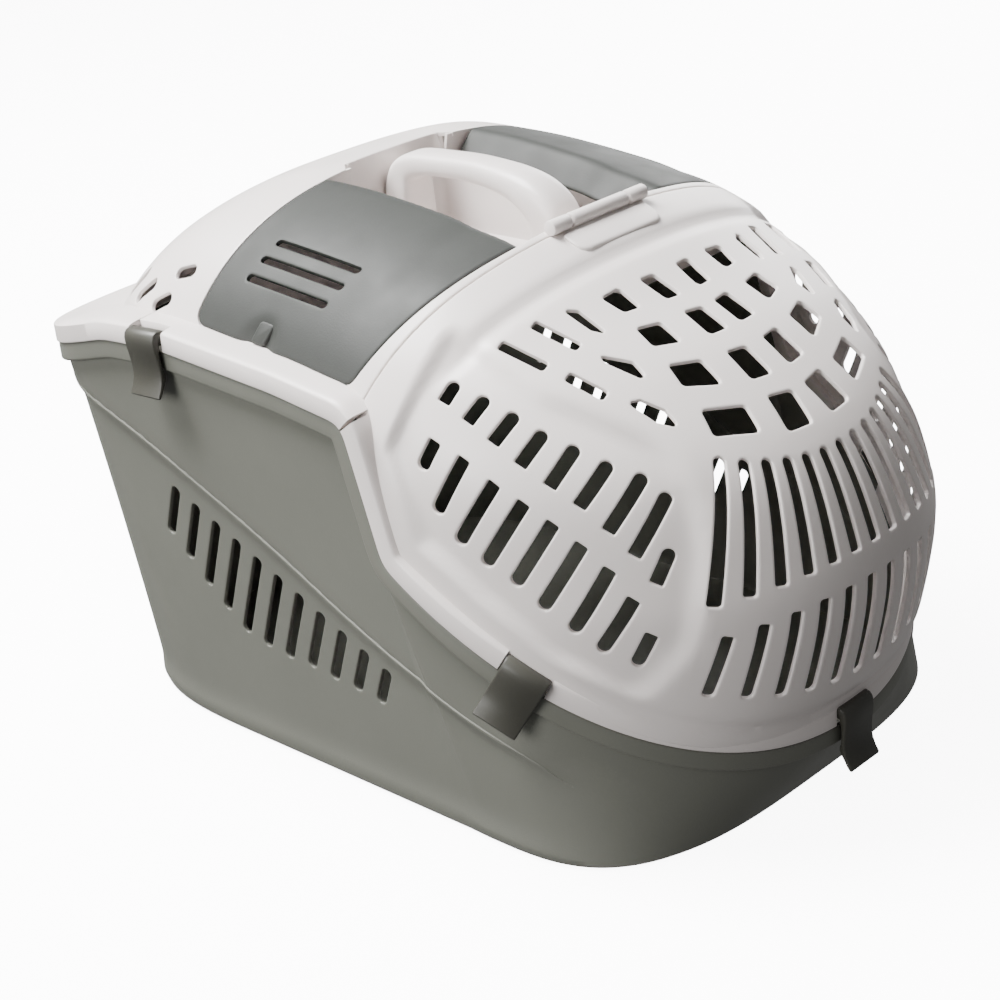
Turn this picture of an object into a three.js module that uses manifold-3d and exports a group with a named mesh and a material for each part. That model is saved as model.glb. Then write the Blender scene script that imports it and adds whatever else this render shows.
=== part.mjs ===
// Pet transport carrier: a deep tub, a domed top cover with two storage lids and a
// carrying handle, and a grille door that swings up from the front.
// Millimetres, +Z up. Lengths along Y are worked out from the front foot of the tub,
// and the whole model is moved by CENTRE_Y so that its origin is under its middle.
import * as THREE from 'three';
import { mergeVertices } from 'three/addons/utils/BufferGeometryUtils.js';
import Module from 'manifold-3d';

const wasm = await Module();
wasm.setup();

// ---- driving dimensions ----
const CENTRE_Y = 205.5;         // middle of the length, from the front foot
const WALL = 2.5;                // moulded wall thickness
const GAP = 0.5;                 // play between neighbouring mouldings
const SLIVER = 0.1;              // facets thinner than this are merged with their neighbours
// tub
const FOOT = { half: 156, front: -5, frontCentre: 100, back: 445, backCentre: 290 };
const RIM = { half: 167, front: -24, frontCentre: 139, back: 456, backCentre: 380 };
const FRONT_POWER = 2.15;      // fullness of the rounded front in plan
const FOOT_POWER = 3.3;        // the foot is squarer in plan than the rim
const BACK_POWER = 2.5;        // fullness of the rounded back in plan
const LIP_OUT = 4;             // how far the tub's lip stands out
const LIP_TALL = 11;
const FLANGE_OUT = 5;          // how far the white flange stands out from the tub wall
const FLANGE_TALL = 13;
const LEDGE = 15;              // inward reach of the cover's flange, up to the foot of the dome
const BACK_LEDGE = 30;         // the same round the back, where the flange makes a shoulder
// row of slanting air slots in each side: [y, z] of the first and last top end
const SIDE_SLOTS = { first: [323, 157], last: [162, 85], lean: 0.45, width: 7,
  tall: [32, 38, 45, 50, 54, 51, 46, 39, 34, 28, 23] };
// rim line seen from the side, as [y, z]: low at the front, high along the sides
const RIM_LINE = [[-60, 17], [139, 160], [158, 234], [211, 241], [306, 248], [355, 245], [480, 214]];
// dome
const DOME_HALF = 170;         // half width of the dome at its base
const DOME_BASE = 165;         // height where the dome starts to close in
const DOME_POWER = 2.9;        // fullness of the arch seen from the front
const DOOR_CENTRE = 160;       // centre of the rounded front in plan
const TAIL_CENTRE = 290;       // centre of the rounded back in plan
const TAIL_POWER = 2.6;
// centre line of the door from its low front edge over the nose to the hinge, as [y, z]
const NOSE_LINE = [[-20, 30], [-29, 53], [-40, 80], [-50, 125], [-47, 155], [-25, 205],
  [17, 243], [74, 275], [127, 302], [150, 305]];
// ridge of the dome, as [y, z]
const RIDGE_LINE = [[100, 303], [127, 304.5], [160, 307.5], [186, 313], [242, 319.5], [290, 321]];
// centre line of the tail from the ridge down to the rim, as [y, z]
const TAIL_LINE = [[290, 321], [330, 313], [375, 291], [410, 265], [436, 238], [447, 215], [450, 190]];
// joint between door and cover: a plane that leans forward at the top
const SEAM = { y: 127, z: 302, lean: 0.45 };
// door hinge
const HINGE = { y: 127, z: 304.5, half: 38, knuckle: 22, radius: 4.2, pin: 2 };
// storage lids and their trays
const LID = { inner: 43, ridge: 57, drop: 12, front: 134, back: 276 };
const LID_LEAN = 0.62;         // lean of the lid's front edge
const LID_BACK_LEAN = 0.25;
const LID_THICK = 2.6;
// lid hinges: two short pins in line at the lid's inner edge, below the ridge
const LID_HINGE = { x: 45.5, below: 18.4, pin: 1.3, radius: 3, max: 95 };
const LID_PINS = [{ ear: 150, boss: 154 }, { ear: 270.5, boss: 260 }];
const EAR = 3.5;               // thickness of the ear that holds a lid's pin
const EAR_ROOT = { deep: 8, below: 2.95 };  // heights of the ear's root under the pin's line
const BOSS = 10;               // length of the lid's boss on the pin
// vents in the tail: places across, height of the low end above the rim, and lengths in plan
const TAIL_SLOTS = { across: [0, 24, 48, 72, 95, 116, 133, 146], lift: 20, width: 8.5, long: 42, short: 17 };
const TRAY = { inner: 54, outer: 146, front: 160, back: 268, floor: 234, wall: 2 };
// handle well and handle
const WELL = { half: 40, lead: 2.8, back: 284, floor: 262 };  // lead: its front wall behind the seam
const WELL_DROP = 4.2;         // the well's side walls end this far below the lids' hinge lines
const HANDLE = { wide: 19, tall: 17, front: 162, back: 273, top: 323 };
const SCREW = { head: 4, shank: 1.8, length: 14, headTall: 3 };
// clips
const CLIP = { width: 26, thick: 2.6, pin: 1.3, pinOut: 1.4, pinUp: 8, up: 11, down: 25, out: 9 };

// ---- small helpers ----
const v = (x, y, z) => new THREE.Vector3(x, y, z);
const lerp = THREE.MathUtils.lerp;

function solid(geometry) {
  const bare = geometry.index ? geometry.clone() : mergeVertices(geometry.clone());
  bare.deleteAttribute('normal');
  bare.deleteAttribute('uv');
  const merged = mergeVertices(bare, 1e-4);
  const mesh = new wasm.Mesh({
    numProp: 3,
    vertProperties: new Float32Array(merged.attributes.position.array),
    triVerts: new Uint32Array(merged.index.array),
  });
  return new wasm.Manifold(mesh);
}

function geometryOf(manifold) {
  const mesh = manifold.simplify(SLIVER).getMesh();
  const geometry = new THREE.BufferGeometry();
  geometry.setAttribute('position', new THREE.BufferAttribute(new Float32Array(mesh.vertProperties), 3));
  geometry.setIndex(Array.from(mesh.triVerts));
  return geometry;
}

// closed solid through a row of rings that all have the same number of points
function loft(rings) {
  const count = rings[0].length;
  const points = rings.flat();
  const index = [];
  for (let k = 0; k + 1 < rings.length; k++) {
    for (let j = 0; j < count; j++) {
      const a = k * count + j;
      const b = k * count + (j + 1) % count;
      index.push(a, b, b + count, a, b + count, a + count);
    }
  }
  for (const [k, flip] of [[0, true], [rings.length - 1, false]]) {
    const centre = new THREE.Vector3();
    rings[k].forEach((p) => centre.add(p));
    points.push(centre.divideScalar(count));
    for (let j = 0; j < count; j++) {
      const a = k * count + j;
      const b = k * count + (j + 1) % count;
      index.push(points.length - 1, flip ? b : a, flip ? a : b);
    }
  }
  const geometry = new THREE.BufferGeometry();
  geometry.setAttribute('position', new THREE.Float32BufferAttribute(points.flatMap((p) => p.toArray()), 3));
  geometry.setIndex(index);
  const built = solid(geometry);
  return built.volume() > 0 ? built : solid(flipped(geometry));
}

function flipped(geometry) {
  const turned = geometry.clone();
  const order = Array.from(geometry.index.array);
  for (let i = 0; i < order.length; i += 3) {
    [order[i + 1], order[i + 2]] = [order[i + 2], order[i + 1]];
  }
  turned.setIndex(order);
  return turned;
}

// prism along X with a YZ outline, given as [y, z] pairs
function prismX(outline, x0, x1) {
  const shape = new THREE.Shape(outline.map(([y, z]) => new THREE.Vector2(y, z)));
  const geometry = new THREE.ExtrudeGeometry(shape, { depth: Math.abs(x1 - x0), bevelEnabled: false });
  const turn = new THREE.Matrix4().makeBasis(v(0, 1, 0), v(0, 0, 1), v(1, 0, 0));
  geometry.applyMatrix4(turn).translate(Math.min(x0, x1), 0, 0);
  return solid(geometry);
}

function box(x0, x1, y0, y1, z0, z1) {
  const geometry = new THREE.BoxGeometry(x1 - x0, y1 - y0, z1 - z0);
  return solid(geometry.translate((x0 + x1) / 2, (y0 + y1) / 2, (z0 + z1) / 2));
}

function cylinder(radius, from, to, sides = 16) {
  const along = to.clone().sub(from);
  const geometry = new THREE.CylinderGeometry(radius, radius, along.length(), sides);
  const turn = new THREE.Quaternion().setFromUnitVectors(v(0, 1, 0), along.clone().normalize());
  geometry.applyQuaternion(turn);
  const middle = from.clone().add(to).multiplyScalar(0.5);
  return solid(geometry.translate(middle.x, middle.y, middle.z));
}

// value at s on a broken line of [s, value] pairs
function along(line, s) {
  let k = 1;
  while (k < line.length - 1 && s > line[k][0]) k += 1;
  const [s0, a] = line[k - 1];
  const [s1, b] = line[k];
  return lerp(a, b, (s - s0) / (s1 - s0));
}

// a smooth curve through the points, as a dense broken line
function smooth(points, steps = 60) {
  const curve = new THREE.SplineCurve(points.map(([p, q]) => new THREE.Vector2(p, q)));
  return curve.getPoints(steps).map((p) => [p.x, p.y]);
}
const swap = (line) => line.map(([p, q]) => [q, p]);

const NOSE = smooth(NOSE_LINE);
const NOSE_BY_Z = swap(NOSE);
const RIDGE = smooth(RIDGE_LINE);
const TAIL = smooth(TAIL_LINE);
const TAIL_BY_Z = swap(TAIL).reverse();

const rimHeight = (y) => along(RIM_LINE, y);

// ---- shape of the dome ----
// half width of the arch at height z where the ridge stands at height top
function archHalf(z, top) {
  const rise = THREE.MathUtils.clamp((z - DOME_BASE) / (top - DOME_BASE), 0, 1);
  return DOME_HALF * (1 - rise ** DOME_POWER) ** (1 / DOME_POWER);
}

function superCut(fraction, power) {
  const f = THREE.MathUtils.clamp(fraction, 0, 1);
  return (1 - f ** power) ** (1 / power);
}

function domeHalf(y, z) {
  if (y < DOOR_CENTRE) {
    const reach = DOOR_CENTRE - along(NOSE_BY_Z, z);
    return archHalf(z, along(RIDGE, y)) * superCut((DOOR_CENTRE - y) / reach, FRONT_POWER);
  }
  if (y <= TAIL_CENTRE) return archHalf(z, along(RIDGE, y));
  const reach = along(TAIL_BY_Z, z) - TAIL_CENTRE;
  return archHalf(z, RIDGE_LINE.at(-1)[1]) * superCut((y - TAIL_CENTRE) / reach, TAIL_POWER);
}

function domeTop(y) {
  if (y < DOOR_CENTRE) return Math.min(along(NOSE.slice(25), y), along(RIDGE, y) - 0.3);
  if (y <= TAIL_CENTRE) return along(RIDGE, y);
  return along(TAIL, y);
}

// rear part of the dome, drawn inwards by inset, as sections across its length
function coverSolid(inset) {
  const fine = inset === 0;
  const stations = fine ? [112, 130, 148, 170, 198, 228, 260, 290, 320, 350, 378, 402, 422, 437, 446]
    : [112, 148, 198, 250, 290, 335, 378, 410, 432, 446];
  const across = fine ? 12 : 8;
  const rings = stations.map((y) => {
    const squeeze = y > TAIL_CENTRE ? (y - TAIL_CENTRE) / (446 - TAIL_CENTRE) : 0;
    const top = domeTop(y) - inset;
    const base = 200;
    const ring = [];
    for (let k = 0; k <= across; k++) {
      const z = base + (top - base) * Math.sin((Math.PI / 2) * (k / across));
      const half = Math.max(domeHalf(y, Math.min(z + inset, domeTop(y))) - inset, 0);
      ring.push([k === across ? 0 : Math.max(half, 0.5), z]);
    }
    const right = ring.map(([x, z]) => v(x, y - inset * squeeze, z));
    const left = ring.slice(0, -1).reverse().map(([x, z]) => v(-x, y - inset * squeeze, z));
    return [...right, ...left];
  });
  return loft(rings);
}

// front part of the dome, as level sections from the low front edge to the hinge
function doorSolid(inset) {
  const levels = inset === 0 ? 12 : 9;
  const around = inset === 0 ? 18 : 12;
  const curve = new THREE.SplineCurve(NOSE_LINE.map(([y, z]) => new THREE.Vector2(y, z)));
  const rings = [];
  for (let k = 0; k <= levels; k++) {
    const p = curve.getPoint(k / levels);
    const t = curve.getTangent(k / levels);
    const y = p.x + t.y * inset;
    const z = p.y - t.x * inset;
    const half = Math.max(archHalf(p.y, 305.5) - inset, 2);
    const ring = [];
    for (let j = 0; j <= around; j++) {
      const angle = Math.PI * (j / around);
      const c = Math.cos(angle);
      const s = Math.sin(angle);
      const x = half * Math.sign(c) * Math.abs(c) ** (2 / FRONT_POWER);
      ring.push(v(x, DOOR_CENTRE - (DOOR_CENTRE - y) * s ** (2 / FRONT_POWER), z));
    }
    rings.push([v(half, 190, z), ...ring, v(-half, 190, z)]);
  }
  return loft(rings);
}

// everything in front of the seam plane moved back by shift
function beforeSeam(shift) {
  const at = (z) => SEAM.y + SEAM.lean * (SEAM.z - z) + shift;
  return prismX([[-200, -50], [at(-50), -50], [at(400), 400], [-200, 400]], -300, 300);
}

// everything under the rim line moved up by lift
function underRim(lift) {
  const line = RIM_LINE.map(([y, z]) => [y, z + lift]);
  const above = [...line].reverse();
  return prismX([[-200, -90], [700, -90], [700, line.at(-1)[1]], ...above, [-200, line[0][1]]],
    -300, 300);
}

// ---- plan outline shared by the rim, the lip and the flanges ----
// stops run from the front middle round the right side to the back middle
function outline(plan, frontPower, backPower, out) {
  const half = [];
  const arc = 9;
  for (let k = 0; k <= arc; k++) {
    const a = (Math.PI / 2) * (k / arc);
    half.push([(plan.half + out) * Math.sin(a) ** (2 / frontPower),
      plan.frontCentre - (plan.frontCentre - plan.front + out) * Math.cos(a) ** (2 / frontPower)]);
  }
  for (const y of [149, 158, 185, 211, 258, 306, 355]) {
    const s = (y - RIM.frontCentre) / (RIM.backCentre - RIM.frontCentre);
    half.push([plan.half + out, lerp(plan.frontCentre, plan.backCentre, s)]);
  }
  for (let k = 0; k <= 6; k++) {
    const a = (Math.PI / 2) * (k / 6);
    half.push([(plan.half + out) * Math.cos(a) ** (2 / backPower),
      plan.backCentre + (plan.back - plan.backCentre + out) * Math.sin(a) ** (2 / backPower)]);
  }
  const other = half.slice(1, -1).reverse().map(([x, y]) => [-x, y]);
  return [...half, ...other];
}

const foot = (out) => outline(FOOT, FOOT_POWER, FOOT_POWER, out);
const rim = (out) => outline(RIM, FRONT_POWER, BACK_POWER, out);

// ring at the rim, down is measured from the rim line
function rimRing(out, down) {
  return rim(out).map(([x, y]) => v(x, y, rimHeight(y) - down));
}

function wallRing(out, share) {
  const low = foot(out);
  const high = rimRing(out, LIP_TALL);
  return high.map((p, k) => v(lerp(low[k][0], p.x, share), lerp(low[k][1], p.y, share), p.z * share));
}

// band that follows the rim over the stops that keep says. Its section is a list of
// [out, up, outAtBack] points, and it changes from out to outAtBack round the back corners
function band(section, keep) {
  const corners = section.map(([out, up, outAtBack = out]) => {
    const back = rim(outAtBack);
    return rim(out).map(([x, y], k) => {
      const share = THREE.MathUtils.smoothstep(y, 330, 420);
      const yy = lerp(y, back[k][1], share);
      return v(lerp(x, back[k][0], share), yy, rimHeight(yy) + up);
    });
  });
  const count = corners[0].length;
  const start = keep(corners[0][0]) ? Math.floor(count / 2) : 0;
  const order = [...Array(count).keys()].map((k) => (k + start) % count);
  return loft(order.filter((k) => keep(corners[0][k])).map((k) => corners.map((c) => c[k])));
}

// slot cutter: a prism through the wall between two surface points, square to the surface
function slotCutter(a, b, normal, width, depth = 9) {
  const length = b.clone().sub(a);
  const centre = a.clone().add(b).multiplyScalar(0.5);
  const u = length.clone().normalize();
  const n = normal.clone().sub(u.clone().multiplyScalar(normal.dot(u))).normalize();
  const w = n.clone().cross(u);
  const geometry = new THREE.BoxGeometry(length.length(), width, depth * 2);
  geometry.applyMatrix4(new THREE.Matrix4().makeBasis(u, w, n).setPosition(centre));
  return solid(geometry);
}

function cutAll(body, cutters) {
  return cutters.reduce((left, cutter) => left.subtract(cutter), body);
}

// ---- places on the door's surface ----
const doorAt = {
  // on the front panel: x and z known
  front(x, z) {
    const nose = along(NOSE_BY_Z, z);
    const y = DOOR_CENTRE - (DOOR_CENTRE - nose) * superCut(Math.abs(x) / archHalf(z, 305.5), FRONT_POWER);
    return v(x, y, z);
  },
  // on the top panel: x and y known
  top(x, y) {
    let low = 150;
    let high = 305;
    for (let k = 0; k < 30; k++) {
      const z = (low + high) / 2;
      if (domeHalf(y, z) > Math.abs(x)) low = z;
      else high = z;
    }
    return v(x, y, low);
  },
  // on the side panel: y and z known
  side: (y, z, sign) => v(sign * domeHalf(y, z), y, z),
};

function normalAt(p) {
  const e = 2;
  const value = (x, y, z) => Math.abs(x) - domeHalf(y, z);
  const slopeY = (value(p.x, p.y + e, p.z) - value(p.x, p.y - e, p.z)) / (2 * e);
  const slopeZ = (value(p.x, p.y, p.z + e) - value(p.x, p.y, p.z - e)) / (2 * e);
  return v(Math.sign(p.x) || 0.001, slopeY, slopeZ).normalize();
}

// ---- slots of the door ----
function frontSlots() {
  const list = [];
  for (let k = -6; k <= 6; k++) {
    const share = Math.abs(k) / 6;
    const top = doorAt.front(k * 12.6 - Math.sign(k) * share ** 2 * 7, 202 + 11 * share ** 2);
    const bottom = doorAt.front(k * 16, 156 - 5 * share ** 2);
    list.push([top, bottom, 6.6]);
  }
  for (let k = -5.5; k <= 5.5; k++) {
    const share = Math.abs(k) / 5.5;
    const top = doorAt.front(k * 16.4, 136 - 6 * share ** 2);
    const bottom = doorAt.front(k * 17.6, 82 + 17 * share ** 2);
    list.push([top, bottom, 7]);
  }
  return list.map(([a, b, width]) => {
    const middle = a.clone().add(b).multiplyScalar(0.5);
    const away = v(middle.x * 0.9, middle.y - DOOR_CENTRE, (middle.z - 135) * 0.6);
    return slotCutter(a, b, away, width);
  });
}

// bend of the rows of windows on the top panel, deeper towards the front
const rowBend = (y) => 0.0048 * (1 - ((y + 17) / 105) ** 2);

function topWindows() {
  const list = [];
  const rows = [[82, 65], [54, 37], [25, 8], [-2, -16]];
  for (const [back, front] of rows) {
    for (const [near, far] of [[7, 20], [36, 50]]) {
      for (const sign of [-1, 1]) {
        const grow = 1 + 0.0025 * (83 - front);
        const middle = sign * ((near + far) / 2) * grow;
        const a = doorAt.top(middle, back + rowBend(back) * middle ** 2);
        const b = doorAt.top(middle, front + rowBend(front) * middle ** 2);
        list.push([a, b, (far - near) * grow]);
      }
    }
  }
  const sideWindows = [
    [[-68.5, 88], [-67, 68], 7], [[-90, 94], [-83, 70], 6], [[-110.5, 98], [-104, 74], 6],
    [[-75, 58], [-72, 38], 8], [[-100, 64], [-93.5, 45], 6], [[-84, 34], [-78, 18], 9],
  ];
  for (const [[xa, ya], [xb, yb], width] of sideWindows) {
    list.push([doorAt.top(xa, ya), doorAt.top(xb, yb), width]);
    list.push([doorAt.top(-xa, ya), doorAt.top(-xb, yb), width]);
  }
  return list.map(([a, b, width]) => {
    const middle = a.clone().add(b).multiplyScalar(0.5);
    return slotCutter(a, b, normalAt(middle), width, 12);
  });
}

function sideSlots() {
  const list = [];
  const upperTop = smooth([[107, 258], [59, 237], [4, 204]], 7);
  const upperBottom = smooth([[109, 249], [64, 222], [11, 176]], 7);
  const lowerTop = smooth([[108, 231], [59, 204], [10, 154]], 7);
  const lowerBottom = smooth([[114, 216], [93, 179], [51, 148], [25, 125]], 7);
  for (let k = 0; k < 8; k++) {
    list.push([upperTop[k], upperBottom[k]], [lowerTop[k], lowerBottom[k]]);
  }
  list.push([[-1, 178], [3, 161]], [[3, 134], [11, 117]]);
  return list.flatMap(([top, bottom]) => [-1, 1].map((sign) => {
    const a = doorAt.side(top[0], top[1], sign);
    const b = doorAt.side(bottom[0], bottom[1], sign);
    return slotCutter(a, b, normalAt(a.clone().add(b).multiplyScalar(0.5)), 7.5, 12);
  }));
}

// ---- hinge and clip hardware ----
const knuckleX = (x0, x1, radius = HINGE.radius) =>
  cylinder(radius, v(x0, HINGE.y, HINGE.z), v(x1, HINGE.y, HINGE.z), 20);

// a clip's frame on the rim: origin on the rim line, along the rim, outwards, and up
function clipFrame(at) {
  const e = 4;
  const pick = (y) => {
    const side = y < RIM.frontCentre
      ? RIM.half * superCut((RIM.frontCentre - y) / (RIM.frontCentre - RIM.front), FRONT_POWER)
      : RIM.half;
    return v(side * at.side, y, rimHeight(y));
  };
  if (at.side === 0) {
    const front = v(0, RIM.front, rimHeight(RIM.front));
    return { origin: front, run: v(1, 0, 0), out: v(0, -1, 0), up: v(0, 0, 1) };
  }
  const origin = pick(at.y);
  const run = pick(at.y + e).sub(pick(at.y - e)).normalize();
  const out = v(run.y, -run.x, 0).normalize().multiplyScalar(at.side);
  const up = run.clone().cross(out).normalize();
  if (up.z < 0) up.negate();
  return { origin, run, out, up };
}

const CLIPS = {
  front_left: { side: -1, y: 65 },
  front_right: { side: 1, y: 65 },
  front_centre: { side: 0, y: 0 },
  rear_left: { side: -1, y: 313 },
  rear_right: { side: 1, y: 313 },
};

function placed(geometry, frame) {
  const basis = new THREE.Matrix4().makeBasis(frame.out, frame.up, frame.out.clone().cross(frame.up));
  return geometry.applyMatrix4(basis.setPosition(frame.origin));
}

// closed outline of the clip seen along the rim, as [out, up]
function clipOutline() {
  const o = FLANGE_OUT + 0.8;
  const t = CLIP.thick;
  const under = -LIP_TALL - 1.4;
  return [[-0.9, CLIP.up - 1.6], [0.2, CLIP.up - 0.4], [2.2, CLIP.up], [o + t, CLIP.up + 0.4],
    [o + t + 0.8, 2],
    [o + t, under + 2], [o + t + 1.2, -CLIP.down + 6], [o + CLIP.out - 2, -CLIP.down],
    [o + CLIP.out - 4.5, -CLIP.down - 1], [o - 0.2, -CLIP.down + 7], [o - 1.2, under - 2], [o - 1.2, under],
    [o - 0.3, under + 2.2], [o + 0.4, 0.5], [o - 0.6, CLIP.pinUp - 3], [-0.9, CLIP.pinUp - 2.6]];
}

function clipSolid(at) {
  const frame = clipFrame(at);
  const shape = new THREE.Shape(clipOutline().map(([p, q]) => new THREE.Vector2(p, q)));
  const geometry = new THREE.ExtrudeGeometry(shape, { depth: CLIP.width, bevelEnabled: false });
  geometry.translate(0, 0, -CLIP.width / 2);
  return solid(placed(geometry, frame)).subtract(clipRod(at, CLIP.pin + 0.35, CLIP.width + 2));
}

function clipRod(at, radius, length) {
  const frame = clipFrame(at);
  const geometry = new THREE.CylinderGeometry(radius, radius, length, 12);
  geometry.rotateX(Math.PI / 2).translate(CLIP.pinOut, CLIP.pinUp, 0);
  return solid(placed(geometry, frame));
}

// notch in the flange for a clip, with holes at its sides for the pin
function cutClipSeat(body, at) {
  const frame = clipFrame(at);
  const notch = new THREE.BoxGeometry(14, CLIP.up + 9, CLIP.width + 1.2);
  notch.translate(7 - 1.8, (CLIP.up + 9) / 2 - 2, 0);
  return body.subtract(solid(placed(notch, frame))).subtract(clipRod(at, CLIP.pin + 0.3, CLIP.width + 9));
}

// ---- sub-parts ----
function baseTub() {
  const outer = loft([foot(-6).map(([x, y]) => v(x, y, 0)), wallRing(0, 0.02), wallRing(0, 0.35),
    wallRing(0, 0.7), rimRing(0, LIP_TALL), rimRing(LIP_OUT, LIP_TALL - 1), rimRing(LIP_OUT, 0)]);
  const inner = loft([wallRing(-WALL, 0.02).map((p) => v(p.x, p.y, WALL)),
    wallRing(-WALL, 0.35), wallRing(-WALL, 0.7), rimRing(-WALL, LIP_TALL), rimRing(-WALL, -1),
    rimRing(-WALL, -80)]);
  const slots = [];
  SIDE_SLOTS.tall.forEach((tall, k) => {
    const share = k / (SIDE_SLOTS.tall.length - 1);
    const [yTop, zTop] = [0, 1].map((n) => lerp(SIDE_SLOTS.first[n], SIDE_SLOTS.last[n], share));
    for (const sign of [-1, 1]) {
      const x = sign * (FOOT.half + 8);
      const low = v(x, yTop + SIDE_SLOTS.lean * tall, zTop - tall);
      slots.push(slotCutter(v(x, yTop, zTop), low, v(sign, 0, 0), SIDE_SLOTS.width, 14));
    }
  });
  return cutAll(outer.subtract(inner), slots);
}

function dome(front) {
  return front ? doorSolid(0).subtract(doorSolid(WALL)) : coverSolid(0).subtract(coverSolid(WALL));
}

function frontDoor() {
  const flange = band([[-WALL, GAP], [FLANGE_OUT, GAP], [FLANGE_OUT, FLANGE_TALL], [-WALL, FLANGE_TALL]],
    (p) => p.y < 186);
  let body = dome(true).add(flange).intersect(beforeSeam(-GAP / 2)).subtract(underRim(GAP));
  body = cutAll(body, [...frontSlots(), ...topWindows(), ...sideSlots()]);
  for (const name of ['front_left', 'front_right', 'front_centre']) {
    body = cutClipSeat(body, CLIPS[name]);
  }
  const k = HINGE.knuckle;
  body = body.subtract(box(-HINGE.half - 1, HINGE.half + 1, HINGE.y - 6.5, HINGE.y + 10, 294, 330));
  const leaf = box(-k, k, HINGE.y - 11, HINGE.y, HINGE.z - 7.5, HINGE.z - 3);
  return body.add(knuckleX(-k, k)).add(leaf).subtract(knuckleX(-k - 1, k + 1, HINGE.pin + 0.3));
}

// space of one lid, grown by extra: in front, behind and under it are planes
function lidSpace(sign, extra) {
  const f = (z) => LID.front + LID_LEAN * (299 - z) - extra;
  const b = (z) => LID.back + LID_BACK_LEAN * (318 - z) + extra;
  const side = prismX([[f(200), 200], [b(200), 200], [b(400), 400], [f(400), 400]], LID.inner - extra, 200);
  const column = side.subtract(underRim(FLANGE_TALL + 1.5 - extra));
  return sign > 0 ? column : column.mirror([1, 0, 0]);
}

const TROUGH_STOPS = [120, 150, 180, 210, 240, 270, 300];
const ridgeEdge = (y) => along(RIDGE, Math.min(y, TAIL_CENTRE)) - 2.2;

// slanting strip from the ridge down to the lid's inner edge
function innerSlope(sign, thick) {
  const rings = TROUGH_STOPS.map((y) => {
    const z = ridgeEdge(y);
    return [v(LID.ridge + 1.5, y, z), v(LID.inner - 1, y, z - LID.drop - 2),
      v(LID.inner - 1, y, z - LID.drop - 2 - thick * 1.3), v(LID.ridge + 1.5, y, z - thick * 1.3)];
  });
  const strip = loft(rings);
  return sign > 0 ? strip : strip.mirror([1, 0, 0]);
}

// everything above the trough between the two ridges, with its surface moved down
function troughSpace(down) {
  const rings = TROUGH_STOPS.map((y) => {
    const z = ridgeEdge(y) - down;
    const x = LID.ridge + 1.5;
    const near = LID.inner - 1;
    return [v(x, y, z), v(x, y, z + 60), v(-x, y, z + 60), v(-x, y, z), v(-near, y, z - LID.drop - 2),
      v(-near, y, z - LID.drop - 8), v(near, y, z - LID.drop - 8), v(near, y, z - LID.drop - 2)];
  });
  return loft(rings);
}

// point on a lid's hinge axis
function lidAxis(sign, y) {
  const [a, b] = [150, 274].map((at) => ridgeEdge(at) + 2.2 - LID_HINGE.below);
  return v(sign * LID_HINGE.x, y, lerp(a, b, (y - 150) / (274 - 150)));
}
function lidRod(sign, radius, y0, y1, sides = 12) {
  return cylinder(radius, lidAxis(sign, y0), lidAxis(sign, y1), sides);
}

// ear on the well's side wall that holds one lid pin
function lidEar(sign, y) {
  const axis = lidAxis(sign, y);
  const x = [sign * (WELL.half - 1.5), sign * (LID_HINGE.x + 0.5)].sort((p, q) => p - q);
  const root = box(x[0], x[1], y, y + EAR, axis.z - EAR_ROOT.deep, axis.z - EAR_ROOT.below);
  return root.add(lidRod(sign, LID_HINGE.radius + 0.2, y, y + EAR, 14));
}

// room above the well's side wall for the lid's inner edge to swing through
function swingRoom(sign) {
  const rings = [LID.front + 4, LID.back + 1].map((y) => {
    const z = lidAxis(sign, y).z - WELL_DROP;
    const inner = WELL.half - WALL - 1;
    const outer = WELL.half + 1;
    return [v(outer, y, z), v(outer, y, z + 40), v(inner, y, z + 40), v(inner, y, z)];
  });
  const room = loft(rings);
  return sign > 0 ? room : room.mirror([1, 0, 0]);
}

function storageLid(sign) {
  let body = coverSolid(0).subtract(coverSolid(LID_THICK)).subtract(troughSpace(0))
    .add(innerSlope(sign, LID_THICK)).intersect(lidSpace(sign, 0)).intersect(coverSolid(0));
  for (const { ear, boss } of LID_PINS) {
    body = body.subtract(lidRod(sign, LID_HINGE.radius + 1.2, ear - 0.5, ear + EAR + 0.5, 16));
    body = body.add(lidRod(sign, LID_HINGE.radius, boss, boss + BOSS));
    body = body.subtract(lidRod(sign, LID_HINGE.pin + 0.3, boss - 3, boss + BOSS + 3));
  }
  return body;
}

function storageTray(sign) {
  const t = TRAY;
  const x = (a, b) => (sign > 0 ? [a, b] : [-b, -a]);
  const outerBox = box(...x(t.inner, t.outer), t.front, t.back, t.floor, 330);
  const innerBox = box(...x(t.inner + t.wall, t.outer - t.wall), t.front + t.wall, t.back - t.wall,
    t.floor + t.wall, 340);
  const under = coverSolid(WALL + GAP).subtract(troughSpace(LID_THICK * 1.3 + 2 * GAP));
  const ledge = under.subtract(coverSolid(WALL + GAP + 2)).intersect(lidSpace(sign, 4))
    .intersect(box(...x(t.inner, t.outer + 4), 100, 320, 200, 340));
  return outerBox.intersect(under).add(ledge).subtract(innerBox);
}

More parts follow.
